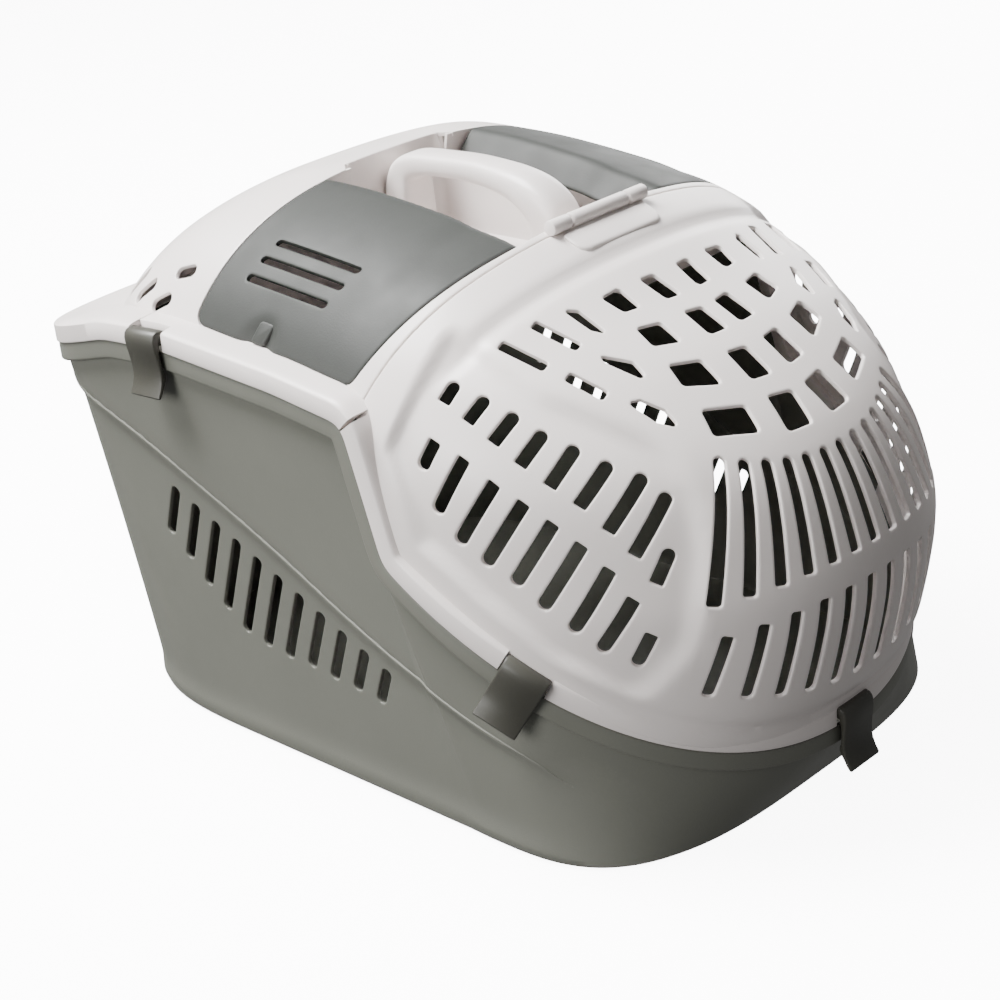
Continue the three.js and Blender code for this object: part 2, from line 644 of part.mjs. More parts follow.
function topCover() {
  const flange = band([[-WALL, GAP], [FLANGE_OUT, GAP], [FLANGE_OUT, FLANGE_TALL],
    [-LEDGE, FLANGE_TALL + 1, -BACK_LEDGE],
    [-LEDGE, FLANGE_TALL - 2, -BACK_LEDGE], [-WALL, FLANGE_TALL - 3]], (p) => p.y > 148);
  const w = WELL;
  let body = dome(false).add(flange);
  const wellOuter = box(-w.half, w.half, 100, w.back + WALL, w.floor - WALL, 330)
    .subtract(beforeSeam(w.lead - WALL));
  const wellInner = box(-w.half + WALL, w.half - WALL, 100, w.back, w.floor, 340)
    .subtract(beforeSeam(w.lead));
  const lidTrough = troughSpace(0).intersect(box(-80, 80, 100, w.back, 200, 400))
    .subtract(beforeSeam(w.lead));
  body = body.subtract(lidTrough).add(wellOuter.intersect(coverSolid(1)).subtract(lidTrough));
  body = body.subtract(wellInner).subtract(lidSpace(1, GAP)).subtract(lidSpace(-1, GAP));
  body = body.subtract(beforeSeam(GAP / 2)).subtract(underRim(GAP));
  for (const name of ['rear_left', 'rear_right']) {
    body = cutClipSeat(body, CLIPS[name]);
  }
  for (const y of [HANDLE.front, HANDLE.back]) {
    body = body.subtract(cylinder(SCREW.shank + 0.4, v(0, y, 240), v(0, y, 270), 12));
  }
  for (const sign of [-1, 1]) {
    body = body.subtract(swingRoom(sign));
    for (const { ear } of LID_PINS) {
      body = body.add(lidEar(sign, ear)).subtract(lidRod(sign, LID_HINGE.pin + 0.3, ear - 2, ear + EAR + 2));
    }
  }
  body = cutAll(body, tailSlots());
  body = body.subtract(knuckleX(-HINGE.knuckle - 1.5, HINGE.knuckle + 1.5, HINGE.radius + 0.8));
  for (const sign of [-1, 1]) {
    const x0 = sign * (HINGE.knuckle + 1.5);
    body = body.add(knuckleX(Math.min(x0, sign * HINGE.half), Math.max(x0, sign * HINGE.half)));
  }
  return body.subtract(knuckleX(-HINGE.half + 2, HINGE.half - 2, HINGE.pin + 0.3));
}

// where the tail stands a given height above the rim, for a place across
function tailFoot(x, lift) {
  let near = 300;
  let far = 452;
  for (let k = 0; k < 30; k++) {
    const y = (near + far) / 2;
    if (tailHeight(x, y) - rimHeight(y) > lift) near = y;
    else far = y;
  }
  return near;
}

function tailSlots() {
  const t = TAIL_SLOTS;
  const onTail = (x, y) => v(x, y, tailHeight(x, y));
  const list = [];
  for (const x of t.across) {
    const foot = tailFoot(x, t.lift);
    const head = foot - lerp(t.long, t.short, x / t.across.at(-1));
    for (const sign of x > 0 ? [-1, 1] : [1]) {
      const high = onTail(sign * x * 0.975, head);
      const low = onTail(sign * x, foot);
      const mid = onTail(sign * x * 0.9875, (head + foot) / 2);
      list.push(slotCutter(high, low, normalAt(mid), t.width, 7));
    }
  }
  return list;
}

function tailHeight(x, y) {
  let low = 190;
  let high = 321;
  for (let k = 0; k < 30; k++) {
    const z = (low + high) / 2;
    if (domeHalf(y, z) > Math.abs(x) + 0.01 && z < domeTop(y)) low = z;
    else high = z;
  }
  return low;
}

function carryHandle() {
  const h = HANDLE;
  const path = new THREE.CatmullRomCurve3([v(0, h.front, WELL.floor + 3), v(0, h.front - 1, WELL.floor + 30),
    v(0, h.front + 6, h.top - 17), v(0, h.front + 28, h.top - 10),
    v(0, (h.front + h.back) / 2, h.top - h.tall / 2),
    v(0, h.back - 24, h.top - 10), v(0, h.back - 3, h.top - 17), v(0, h.back, WELL.floor + 30),
    v(0, h.back, WELL.floor + 3)]);
  const section = new THREE.Shape();
  section.absellipse(0, 0, h.tall / 2, h.wide / 2, 0, Math.PI * 2);
  const geometry = new THREE.ExtrudeGeometry(section, { extrudePath: path, steps: 30, curveSegments: 6,
    bevelEnabled: false });
  let body = solid(geometry);
  for (const y of [h.front, h.back]) {
    const reach = y === h.front ? 11 : 9;
    body = body.add(box(-17, 17, y - reach, y + reach, WELL.floor + GAP, WELL.floor + 7));
    body = body.subtract(cylinder(SCREW.shank + 0.3, v(0, y, 250), v(0, y, WELL.floor + 14), 12));
  }
  return body;
}

function handleScrew(y) {
  const top = WELL.floor - WALL - 0.4;
  const head = cylinder(SCREW.head, v(0, y, top - SCREW.headTall), v(0, y, top), 12);
  return head.add(cylinder(SCREW.shank, v(0, y, top - 1), v(0, y, top + SCREW.length), 12));
}

// ---- materials ----
const finish = (color, roughness) => new THREE.MeshStandardMaterial({ color, roughness, metalness: 0 });
const cream = () => finish(0xebe4df, 0.45);
const sage = () => finish(0x80847c, 0.5);
const olive = () => finish(0x5f5e55, 0.55);
const steel = () => new THREE.MeshStandardMaterial({ color: 0xb5b5b5, roughness: 0.35, metalness: 1 });

// ---- assembly ----
const carrier = new THREE.Group();
carrier.position.set(0, -CENTRE_Y, 0);

function addPart(name, manifold, material) {
  const mesh = new THREE.Mesh(geometryOf(manifold), material);
  mesh.name = name;
  carrier.add(mesh);
}

addPart('base_tub', baseTub(), sage());
addPart('top_cover', topCover(), cream());
addPart('front_door', frontDoor(), cream());
addPart('door_hinge_pin', knuckleX(-HINGE.half + 2.5, HINGE.half - 2.5, HINGE.pin), steel());
for (const [side, sign] of [['left', -1], ['right', 1]]) {
  addPart(`storage_lid_${side}`, storageLid(sign), sage());
  addPart(`storage_tray_${side}`, storageTray(sign), cream());
}
for (const [side, sign] of [['left', -1], ['right', 1]]) {
  LID_PINS.forEach(({ ear, boss }, k) => {
    const [from, to] = [Math.min(ear, boss) - 0.5, Math.max(ear + EAR, boss + BOSS) + 0.5];
    addPart(`lid_pin_${side}_${k ? 'rear' : 'front'}`, lidRod(sign, LID_HINGE.pin, from, to), steel());
  });
}
addPart('carry_handle', carryHandle(), cream());
addPart('handle_screw_front', handleScrew(HANDLE.front), steel());
addPart('handle_screw_rear', handleScrew(HANDLE.back), steel());
for (const [name, at] of Object.entries(CLIPS)) {
  addPart(`clip_${name}`, clipSolid(at), olive());
  addPart(`clip_pin_${name}`, clipRod(at, CLIP.pin, CLIP.width + 8), steel());
}

export default carrier;
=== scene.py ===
import math

import bmesh
import bpy
import numpy as np
from mathutils import Matrix, Vector
from mathutils.geometry import delaunay_2d_cdt
from mathutils.kdtree import KDTree


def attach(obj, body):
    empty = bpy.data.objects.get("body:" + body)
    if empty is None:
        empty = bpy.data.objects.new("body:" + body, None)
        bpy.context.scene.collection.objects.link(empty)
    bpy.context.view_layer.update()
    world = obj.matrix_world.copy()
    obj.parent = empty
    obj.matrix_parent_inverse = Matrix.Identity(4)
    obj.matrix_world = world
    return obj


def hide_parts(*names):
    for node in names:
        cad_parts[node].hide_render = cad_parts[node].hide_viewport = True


# Looks of a hard-shell pet carrier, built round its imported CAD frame.
# Shapes are worked out in millimetres, with Y counted from the tub's front foot and Z up,
# and row() turns them into the frame's metres.

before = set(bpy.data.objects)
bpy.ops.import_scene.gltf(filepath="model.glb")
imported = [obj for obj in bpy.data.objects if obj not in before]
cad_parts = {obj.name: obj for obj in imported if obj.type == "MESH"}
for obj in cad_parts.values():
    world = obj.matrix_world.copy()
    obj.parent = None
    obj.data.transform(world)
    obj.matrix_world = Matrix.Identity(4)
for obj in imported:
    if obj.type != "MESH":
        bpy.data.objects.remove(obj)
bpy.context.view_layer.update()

# ---- driving dimensions ----
# They are the part's own, but for LID's drop (12 there) and WELL's lead (2.8 there).
CENTRE_Y = 205.5
GAP = 0.5
FOOT = dict(half=156, front=-5, front_centre=100, back=445, back_centre=290)
RIM = dict(half=167, front=-24, front_centre=139, back=456, back_centre=380)
FRONT_POWER, FOOT_POWER, BACK_POWER = 2.15, 3.3, 2.5
RIM_LINE = [(-60, 17), (139, 160), (158, 234), (211, 241), (306, 248), (355, 245), (480, 214)]
DOME_HALF, DOME_BASE, DOME_POWER = 170, 165, 2.9
DOOR_CENTRE, TAIL_CENTRE, TAIL_POWER = 160, 290, 2.6
NOSE_LINE = [(-20, 30), (-29, 53), (-40, 80), (-50, 125), (-47, 155), (-25, 205),
             (17, 243), (74, 275), (127, 302), (150, 305)]
RIDGE_LINE = [(100, 303), (127, 304.5), (160, 307.5), (186, 313), (242, 319.5), (290, 321)]
TAIL_LINE = [(290, 321), (330, 313), (375, 291), (410, 265), (436, 238), (447, 215), (450, 190)]
SEAM = dict(y=127, z=302, lean=0.45)
HINGE = dict(y=127, z=304.5, half=38, knuckle=22, radius=4.2)
LID = dict(inner=43, ridge=57, drop=14, front=134, front_lean=0.62, back=276, back_lean=0.25)
WELL = dict(half=40, lead=3, back=284, floor=262, drop=4.2)
LID_AXIS = (288.1, 302.3)      # height of the lids' hinge lines at y = 150 and at y = 274
CLIP_WIDE = 26
CLIPS = {"front_left": (-1, 65), "front_right": (1, 65), "front_centre": (0, 0),
         "rear_left": (-1, 313), "rear_right": (1, 313)}


def row(points):
    """Millimetres from the front foot to the frame's metres."""
    return (np.asarray(points, float) - (0, CENTRE_Y, 0)) * 0.001


def spline(points, steps=480):
    """Dense line on the smooth curve through the points."""
    p = np.array(points, float)
    p = np.vstack([p[:1], p, p[-1:]])
    t = np.linspace(0, len(points) - 1, steps, endpoint=True)
    i = np.minimum(t.astype(int), len(points) - 2)
    f = (t - i)[:, None]
    p0, p1, p2, p3 = p[i], p[i + 1], p[i + 2], p[i + 3]
    m1, m2 = (p2 - p0) / 2, (p3 - p1) / 2
    return ((2 * p1 - 2 * p2 + m1 + m2) * f ** 3 + (3 * p2 - 3 * p1 - 2 * m1 - m2) * f ** 2
            + m1 * f + p1)


NOSE, RIDGE, TAIL = spline(NOSE_LINE), spline(RIDGE_LINE), spline(TAIL_LINE)


def unit(v):
    v = np.asarray(v, float)
    return v / np.maximum(np.linalg.norm(v, axis=-1, keepdims=True), 1e-9)


def ease(t):
    t = np.clip(t, 0, 1)
    return t * t * (3 - 2 * t)


def mix(a, b, t):
    return a + (b - a) * t


# ---- shape of the dome ----
def super_cut(share, power):
    return (1 - np.clip(share, 0, 1) ** power) ** (1 / power)


def dome_half(y, z):
    """Half width of the dome at length y and height z."""
    y, z = np.asarray(y, float), np.asarray(z, float)
    ridge = np.interp(y, RIDGE[:, 0], RIDGE[:, 1])
    arch = DOME_HALF * super_cut((z - DOME_BASE) / (ridge - DOME_BASE), DOME_POWER)
    nose = np.interp(z, NOSE[:, 1], NOSE[:, 0])
    tail = np.interp(z, TAIL[::-1, 1], TAIL[::-1, 0])
    front = super_cut((DOOR_CENTRE - y) / (DOOR_CENTRE - nose), FRONT_POWER)
    rear = super_cut((y - TAIL_CENTRE) / np.maximum(tail - TAIL_CENTRE, 1e-3), TAIL_POWER)
    return arch * np.where(y < DOOR_CENTRE, front, 1) * np.where(y > TAIL_CENTRE, rear, 1)


def inside(p):
    return np.abs(p[..., 0]) < dome_half(p[..., 1], p[..., 2])


def reach(origin, direction, far=420.0):
    """Where rays from inside the dome leave it."""
    low = np.zeros(direction.shape[:-1])
    high = np.full(direction.shape[:-1], far)
    for _ in range(34):
        middle = (low + high) / 2
        within = inside(origin + direction * middle[..., None])
        low = np.where(within, middle, low)
        high = np.where(within, high, middle)
    return origin + direction * low[..., None]


def seam_y(z, shift=0.0):
    return SEAM["y"] + SEAM["lean"] * (SEAM["z"] - z) + shift


# ---- the rim: a smooth closed line that the tub's lip and the covers' flanges follow ----
def outline(plan, front_power, back_power, steps=240):
    """Half outline in plan, from the front middle round the right side to the back middle."""
    a = np.linspace(0, math.pi / 2, steps)
    front = np.stack([plan["half"] * np.sin(a) ** (2 / front_power),
                      plan["front_centre"] - (plan["front_centre"] - plan["front"])
                      * np.cos(a) ** (2 / front_power)], 1)
    y = np.linspace(plan["front_centre"], plan["back_centre"], steps)[1:-1]
    side = np.stack([np.full_like(y, plan["half"]), y], 1)
    back = np.stack([plan["half"] * np.cos(a) ** (2 / back_power),
                     plan["back_centre"] + (plan["back"] - plan["back_centre"])
                     * np.sin(a) ** (2 / back_power)], 1)
    return np.vstack([front, side, back])


def by_length(line, step):
    """The line with evenly spaced points, about a step apart."""
    length = np.r_[0, np.cumsum(np.linalg.norm(np.diff(line[:, :3], axis=0), axis=1))]
    count = max(int(round(length[-1] / step)), 2)
    s = np.linspace(0, length[-1], count + 1)
    return np.stack([np.interp(s, length, line[:, k]) for k in range(line.shape[1])], 1)


def soften(line, window):
    """Rounds the corners of an evenly spaced closed line."""
    kernel = np.hanning(window + 2)[1:-1]
    kernel /= kernel.sum()
    wrapped = np.vstack([line[-window:], line, line[:window]])
    done = np.stack([np.convolve(wrapped[:, k], kernel, "same") for k in range(line.shape[1])], 1)
    return done[window:-window]


def around(right):
    """A closed loop from its right half, which runs from the front middle to the back middle."""
    return np.vstack([right, (right * (-1, 1, 1))[-2:0:-1]])


def rim_and_foot():
    half, foot = outline(RIM, FRONT_POWER, BACK_POWER), outline(FOOT, FOOT_POWER, FOOT_POWER)
    z = np.interp(half[:, 1], *np.array(RIM_LINE, float).T)
    order = np.arange(len(half))
    right = by_length(np.column_stack([half, z, order]), 1.0)
    below = np.stack([np.interp(right[:, 3], order, foot[:, k]) for k in (0, 1)] + [right[:, 3] * 0], 1)
    return soften(around(right[:, :3]), 25), around(below), len(right) - 1


RIM_LOOP, FOOT_LOOP, RIM_BACK = rim_and_foot()
RIM_COUNT = len(RIM_LOOP)


def on_loop(loop, s):
    """Point of a closed loop at s, counted in its points."""
    at = np.asarray(s, float) % RIM_COUNT
    return np.stack([np.interp(at, np.arange(RIM_COUNT + 1), np.r_[loop[:, k], loop[0, k]])
                     for k in range(3)], -1)


def rim_frame(s):
    """Point, outward and upward directions at s, counted in points of the rim from the
    front middle, positive on the right side and negative on the left."""
    s = np.asarray(s, float)
    run = unit(on_loop(RIM_LOOP, s + 3) - on_loop(RIM_LOOP, s - 3))
    out = unit(np.stack([run[..., 1], -run[..., 0], np.zeros_like(run[..., 0])], -1))
    up = unit(np.cross(out, run))
    return on_loop(RIM_LOOP, s), out, up * np.sign(up[..., 2:3])


def rim_place(s, out, up):
    p, o, u = rim_frame(s)
    return p + o * np.asarray(out)[..., None] + u * np.asarray(up)[..., None]


def rim_at_y(y, side=1):
    """Place along the rim where its right or left side passes y."""
    k = int(np.argmin(np.abs(RIM_LOOP[:RIM_BACK, 1] - y)))
    return side * k


SEAM_S = int(np.argmin(np.abs(RIM_LOOP[:RIM_BACK, 1] - seam_y(RIM_LOOP[:RIM_BACK, 2]))))
CLIP_S = {name: rim_at_y(y, side) if side else 0 for name, (side, y) in CLIPS.items()}


# ---- flat charts of curved surfaces ----
class DomeChart:
    """Flat coordinates for a stretch of the dome: two angles seen from a point inside it.
    tilt is how far above the level, towards the front, the chart's middle looks."""

    def __init__(self, centre, tilt, scale):
        t = math.radians(tilt)
        self.centre, self.scale = np.array(centre, float), scale
        self.across = np.array((1.0, 0, 0))
        self.along = np.array((0, math.sin(t), math.cos(t)))
        self.away = np.array((0, -math.cos(t), math.sin(t)))

    def flat(self, p):
        d = np.asarray(p, float) - self.centre
        n = d @ self.away
        return np.stack([np.arctan2(d @ self.across, n), np.arctan2(d @ self.along, n)], -1) * self.scale

    def surface(self, uv):
        t = np.tan(np.asarray(uv) / self.scale)
        return reach(self.centre, unit(self.away + t[..., :1] * self.across + t[..., 1:] * self.along))


class FormulaChart:
    """Flat coordinates for a surface that a function of them gives."""

    def __init__(self, surface, low, high):
        self.surface = surface
        u, v = np.meshgrid(np.linspace(low[0], high[0], 90), np.linspace(low[1], high[1], 60))
        self.seeds = np.stack([u.ravel(), v.ravel()], 1)
        self.tree = KDTree(len(self.seeds))
        for k, p in enumerate(surface(self.seeds)):
            self.tree.insert(p, k)
        self.tree.balance()

    def flat(self, p):
        p = np.asarray(p, float)
        uv = np.array([self.seeds[self.tree.find(q)[1]] for q in p])
        h = 0.5
        for _ in range(6):
            here = self.surface(uv)
            du = (self.surface(uv + (h, 0)) - here) / h
            dv = (self.surface(uv + (0, h)) - here) / h
            gap = p - here
            a, b, c = (du * du).sum(1), (du * dv).sum(1), (dv * dv).sum(1)
            e, f = (du * gap).sum(1), (dv * gap).sum(1)
            det = np.maximum(a * c - b * b, 1e-9)
            uv = uv + np.stack([(c * e - b * f) / det, (a * f - b * e) / det], 1)
        return uv


def normals(chart, uv):
    h = 0.6
    du = chart.surface(uv + (h, 0)) - chart.surface(uv - (h, 0))
    dv = chart.surface(uv + (0, h)) - chart.surface(uv - (0, h))
    return unit(np.cross(du, dv))


# ---- pierced sheets ----
def dense(loop, step):
    """A closed loop with no side longer than a step."""
    done = []
    for a, b in zip(loop, np.roll(loop, -1, axis=0)):
        count = max(int(math.ceil(np.linalg.norm(b - a) / step)), 1)
        done += [mix(a, b, k / count) for k in range(count)]
    return np.array(done)


def rounded(corners, radius, steps=5):
    """A closed outline with its corners rounded. radius is one number or one per corner."""
    corners = np.array(corners, float)
    radii = np.broadcast_to(radius, len(corners))
    done = []
    for k, p in enumerate(corners):
        a, b = corners[k - 1], corners[(k + 1) % len(corners)]
        ua, ub = unit(a - p), unit(b - p)
        turn = math.acos(float(np.clip(ua @ ub, -1, 1)))
        cut = radii[k] / math.tan(turn / 2)
        cut = min(cut, np.linalg.norm(a - p) * 0.499, np.linalg.norm(b - p) * 0.499)
        r = cut * math.tan(turn / 2)
        centre = p + unit(ua + ub) * (r / math.sin(turn / 2))
        start, end = p + ua * cut - centre, p + ub * cut - centre
        sweep = math.pi - turn
        for j in range(steps + 1):
            w = j / steps
            done.append(centre + (start * math.sin((1 - w) * sweep) + end * math.sin(w * sweep))
                        / max(math.sin(sweep), 1e-6))
    return np.array(done)


def loop_area(uv):
    x, y = uv[:, 0], uv[:, 1]
    return 0.5 * float(np.sum(x * np.roll(y, -1) - np.roll(x, -1) * y))


def within(points, loop):
    """Which flat points lie inside a closed flat loop."""
    x, y = points[:, 0], points[:, 1]
    result = np.zeros(len(points), bool)
    for (x0, y0), (x1, y1) in zip(loop, np.roll(loop, -1, axis=0)):
        crosses = (y0 > y) != (y1 > y)
        with np.errstate(divide="ignore", invalid="ignore"):
            result ^= crosses & (x < (x1 - x0) * (y - y0) / (y1 - y0) + x0)
    return result


def rings(chart, uv, edge, is_hole):
    """The loop itself, sunk by edge, and rings beside it in the sheet that round its edge off."""
    if (loop_area(uv) > 0) == is_hole:
        uv = uv[::-1]
    if not edge:
        return [(uv, 0.0)]
    p, n = chart.surface(uv), normals(chart, uv)
    run = unit(np.roll(p, -1, axis=0) - np.roll(p, 1, axis=0))
    into = np.cross(n, run)
    steps = ((0, 1), (0.29, 0.29), (1, 0), (1.9, 0))
    return [(chart.flat(p + into * edge * go) if go else uv, edge * down) for go, down in steps]


def spread(loops, taken, spacing):
    """Points between the loops, on a triangular grid that keeps clear of the taken ones."""
    low, high = loops[0].min(0), loops[0].max(0)
    u, v = np.meshgrid(np.arange(low[0], high[0], spacing), np.arange(low[1], high[1], spacing * 0.866))
    u[1::2] += spacing / 2
    grid = np.stack([u.ravel(), v.ravel()], 1)
    keep = within(grid, loops[0])
    for loop in loops[1:]:
        near = np.all((grid > loop.min(0)) & (grid < loop.max(0)), axis=1) & keep
        keep[near] &= ~within(grid[near], loop)
    grid = grid[keep]
    tree = KDTree(len(taken))
    for k, p in enumerate(taken):
        tree.insert((*p, 0), k)
    tree.balance()
    return grid[[tree.find((*p, 0))[2] > spacing * 0.62 for p in grid]]


def sheet(chart, outer, holes, spacing, relief=None, thick=2.4, edge=0.9, outer_edge=None, bare=None):
    """Closed shell over an outline on a chart's surface, pierced by holes. Loops are points in
    space, or flat ones if they have two columns. relief gives how far a surface point is moved
    outwards, and bare says which flat points lie on a border that is left open.
    Returns the points, the faces and the flat places of the outer points."""
    points, sinks, edges, loops, owner = [], [], [], [], []
    for k, loop in enumerate([outer, *holes]):
        uv = dense(loop, spacing * 1.1)
        uv = uv if uv.shape[1] == 2 else chart.flat(uv)
        round_off = edge if k or outer_edge is None else outer_edge
        for n, (ring, sink) in enumerate(rings(chart, uv, round_off, k > 0)):
            start = len(points)
            points += [tuple(q) for q in ring]
            sinks += [sink] * len(ring)
            owner += [k if n == 0 else -1] * len(ring)
            edges += [(start + j, start + (j + 1) % len(ring)) for j in range(len(ring))]
            if n == 0:
                loops.append(ring)
    grid = spread(loops, points, spacing)
    points += [tuple(q) for q in grid]
    sinks += [0.0] * len(grid)
    owner += [-1] * len(grid)
    flat, _, faces, origin, _, _ = delaunay_2d_cdt([Vector(p) for p in points], edges, [], 0, 1e-5)
    source = np.array([o[0] if o else -1 for o in origin])
    sink = np.where(source < 0, 0.0, np.array(sinks)[source])
    mine = np.where(source < 0, -1, np.array(owner)[source])
    flat = np.array([tuple(p) for p in flat])
    tri = np.array([f for f in faces if len(f) == 3])
    middle = flat[tri].mean(1)
    keep = np.ones(len(tri), bool)
    for k, loop in enumerate(loops):
        on_edge = np.flatnonzero((mine[tri] == k).all(1))
        if len(on_edge):
            held = within(middle[on_edge], loop)
            keep[on_edge] = ~held if k else held
    tri = tri[keep]
    used = np.unique(tri)
    index = -np.ones(len(flat), int)
    index[used] = np.arange(len(used))
    tri, flat, sink = index[tri], flat[used], sink[used]
    p, n = chart.surface(flat), normals(chart, flat)
    lift = relief(p) if relief else np.zeros(len(p))
    outside = p + n * (lift - sink)[:, None]
    inner = p + n * (lift - thick)[:, None]
    count = len(p)
    directed = {(a, b) for t in tri.tolist() for a, b in ((t[0], t[1]), (t[1], t[2]), (t[2], t[0]))}
    open_side = bare(flat) if bare else np.zeros(count, bool)
    walls = [(b, a, a + count, b + count) for a, b in sorted(directed)
             if (b, a) not in directed and not (open_side[a] and open_side[b])]
    return np.vstack([outside, inner]), tri.tolist() + (tri[:, ::-1] + count).tolist() + walls, flat


# ---- other closed shapes ----
def loft(sections, closed=False):
    """Closed shape through rings of equal length. An open row of rings gets end caps."""
    sections = [np.asarray(s, float) for s in sections]
    n, m = len(sections[0]), len(sections)
    points = np.vstack(sections)
    faces = []
    for k in range(m if closed else m - 1):
        for j in range(n):
            a, b = k * n + j, k * n + (j + 1) % n
            c, d = (k + 1) % m * n + (j + 1) % n, (k + 1) % m * n + j
            faces.append((a, b, c, d))
    if not closed:
        faces += [tuple(range(n))[::-1], tuple(range((m - 1) * n, m * n))]
    return points, faces


def joined(*shapes):
    points, faces, start = [], [], 0
    for p, f in shapes:
        points.append(p)
        faces += [tuple(i + start for i in face) for face in f]
        start += len(p)
    return np.vstack(points), faces


def mirrored(shape):
    points, faces = shape
    return points * (-1, 1, 1), [tuple(f)[::-1] for f in faces]


def piece(name, shape, body, material, sharp=38):
    """A named mesh piece that rides on a CAD body."""
    points, faces = shape
    mesh = bpy.data.meshes.new(name)
    mesh.from_pydata([tuple(p) for p in row(points)], [], [tuple(f) for f in faces])
    work = bmesh.new()
    work.from_mesh(mesh)
    bmesh.ops.remove_doubles(work, verts=work.verts, dist=1e-6)
    bmesh.ops.recalc_face_normals(work, faces=work.faces)
    work.to_mesh(mesh)
    work.free()
    mesh.polygons.foreach_set("use_smooth", [True] * len(mesh.polygons))
    mesh.set_sharp_from_angle(angle=math.radians(sharp))
    mesh.materials.append(material)
    thing = bpy.data.objects.new(name, mesh)
    bpy.context.scene.collection.objects.link(thing)
    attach(thing, body)
    return thing


# ---- materials ----
def grainy(name, color, rough, variation=0.04, grain=0.0, edge_highlight=0.0, scale=1.0):
    """Moulded plastic: slightly uneven colour and gloss, fine grain, and a painted highlight that makes
    convex edges paler.
    """
    made = bpy.data.materials.new(name)
    made.use_nodes = True
    nodes, link = made.node_tree.nodes, made.node_tree.links.new
    shader = nodes["Principled BSDF"]
    place = nodes.new("ShaderNodeTexCoord")

    def noise(size, detail):
        n = nodes.new("ShaderNodeTexNoise")
        n.inputs["Scale"].default_value = size * scale
        n.inputs["Detail"].default_value = detail
        link(place.outputs["Object"], n.inputs["Vector"])
        return n.outputs["Fac"]

    def ramp(source, low, high, a, b):
        n = nodes.new("ShaderNodeMapRange")
        n.inputs["From Min"].default_value = low
        n.inputs["From Max"].default_value = high
        n.inputs["To Min"].default_value = a
        n.inputs["To Max"].default_value = b
        link(source, n.inputs["Value"])
        return n.outputs["Result"]

    def tint(share, a, b):
        n = nodes.new("ShaderNodeMix")
        n.data_type = "RGBA"
        link(share, n.inputs["Factor"])
        for socket, value in ((n.inputs[6], a), (n.inputs[7], b)):
            if isinstance(value, tuple):
                socket.default_value = (*value, 1)
            else:
                link(value, socket)
        return n.outputs[2]

    dark = tuple(c * (1 - variation) for c in color)
    light = tuple(min(c * (1 + variation), 1) for c in color)
    cloud = ramp(noise(9, 3), 0.35, 0.65, 0, 1)
    base = tint(cloud, dark, light)
    # painted highlight: convex edges, found by pointiness, are made paler
    if edge_highlight:
        shape = nodes.new("ShaderNodeNewGeometry")
        edge = ramp(shape.outputs["Pointiness"], 0.53, 0.62, 0, edge_highlight)
        highlight_colour = tuple(min(c * 1.35 + 0.03, 1) for c in color)
        base = tint(edge, base, highlight_colour)
    link(base, shader.inputs["Base Color"])
    link(ramp(noise(38, 4), 0.3, 0.7, rough - 0.05, rough + 0.06), shader.inputs["Roughness"])
    if grain:
        bump = nodes.new("ShaderNodeBump")
        bump.inputs["Strength"].default_value = grain
        bump.inputs["Distance"].default_value = 0.0002
        link(noise(900, 2), bump.inputs["Height"])
        link(bump.outputs["Normal"], shader.inputs["Normal"])
    return made


def drawn_steel(name):
    made = grainy(name, (0.62, 0.62, 0.63), 0.3, 0.03, 0.1)
    made.node_tree.nodes["Principled BSDF"].inputs["Metallic"].default_value = 1
    return made


CREAM = grainy("cream_plastic", (0.82, 0.762, 0.735), 0.34, 0.012, 0.12)
SAGE = grainy("sage_plastic", (0.160, 0.162, 0.138), 0.42, 0.035, 0.35, 0.35)
# darker copy of the sage plastic for the up-facing lids: painted shade that offsets the stronger light
# falling on their tops
SAGE_LID_SHADED = grainy("sage_lid_painted_shade", (0.022, 0.0242, 0.0208), 0.6, 0.035, 0.3, 0.3)
OLIVE = grainy("olive_plastic", (0.047, 0.046, 0.037), 0.4, 0.05, 0.3, 0.35)
STEEL = drawn_steel("pin_steel")


# ---- tub ----
LIP_TALL, LIP_OUT, WALL = 11, 4, 2.5
FLANGE_OUT, FLANGE_TALL = 5, 13
SIDE_SLOTS = dict(first=(323, 157), last=(162, 85), lean=0.45, width=7,
                  tall=(32, 38, 45, 50, 54, 51, 46, 39, 34, 28, 23))
CREASE = [(452, 218), (386, 202), (346, 187), (305, 169), (265, 151.5), (228, 134), (193, 115), (148, 94),
          (112, 82), (81, 70.5), (50, 58), (30, 47)]
PANEL_STEP = 2.2         # how far the panel below the crease is set back
# section of the crease's raised line, as (across, out)
BEAD_LINE = ((-1.3, -3.0), (-1.3, -0.1), (-0.6, 0.55), (0.6, 0.55), (1.3, -0.1), (1.3, -3.0))
TUB_TALL = 160.0         # the wall's length in its flat chart, above the rounded foot
FOOT_ROUND = 5.0
FLOOR_REACH = 30.0       # how far the wall's chart runs in under the floor


def tub_point(uv):
    """Point of the tub's skin: u runs along the rim, v up the wall. Below v = FOOT_ROUND the
    skin turns in under the floor."""
    s, v = uv[..., 0], uv[..., 1]
    low = on_loop(FOOT_LOOP, s)
    run = unit(on_loop(FOOT_LOOP, s + 3) - on_loop(FOOT_LOOP, s - 3))
    inward = np.stack([-run[..., 1], run[..., 0], run[..., 0] * 0], -1)
    high = rim_place(s, np.zeros_like(s), np.full_like(s, 2.0 - LIP_TALL))
    wall = lambda t: low + (high - low) * (t / TUB_TALL)[..., None]
    turn = np.clip((FOOT_ROUND - v) / (2 * FOOT_ROUND), 0, 1)[..., None]
    corner = (wall(np.full_like(v, FOOT_ROUND)) * (1 - turn) ** 2 + low * 2 * turn * (1 - turn)
              + (low + inward * FOOT_ROUND) * turn ** 2)
    under = corner + inward * np.maximum(-FOOT_ROUND - v, 0)[..., None]
    return np.where((v > FOOT_ROUND)[..., None], wall(v), under)


def crease_z(y):
    """Height of the crease line at y."""
    line = np.array(CREASE[::-1], float)
    return np.interp(y, line[:, 0], line[:, 1])


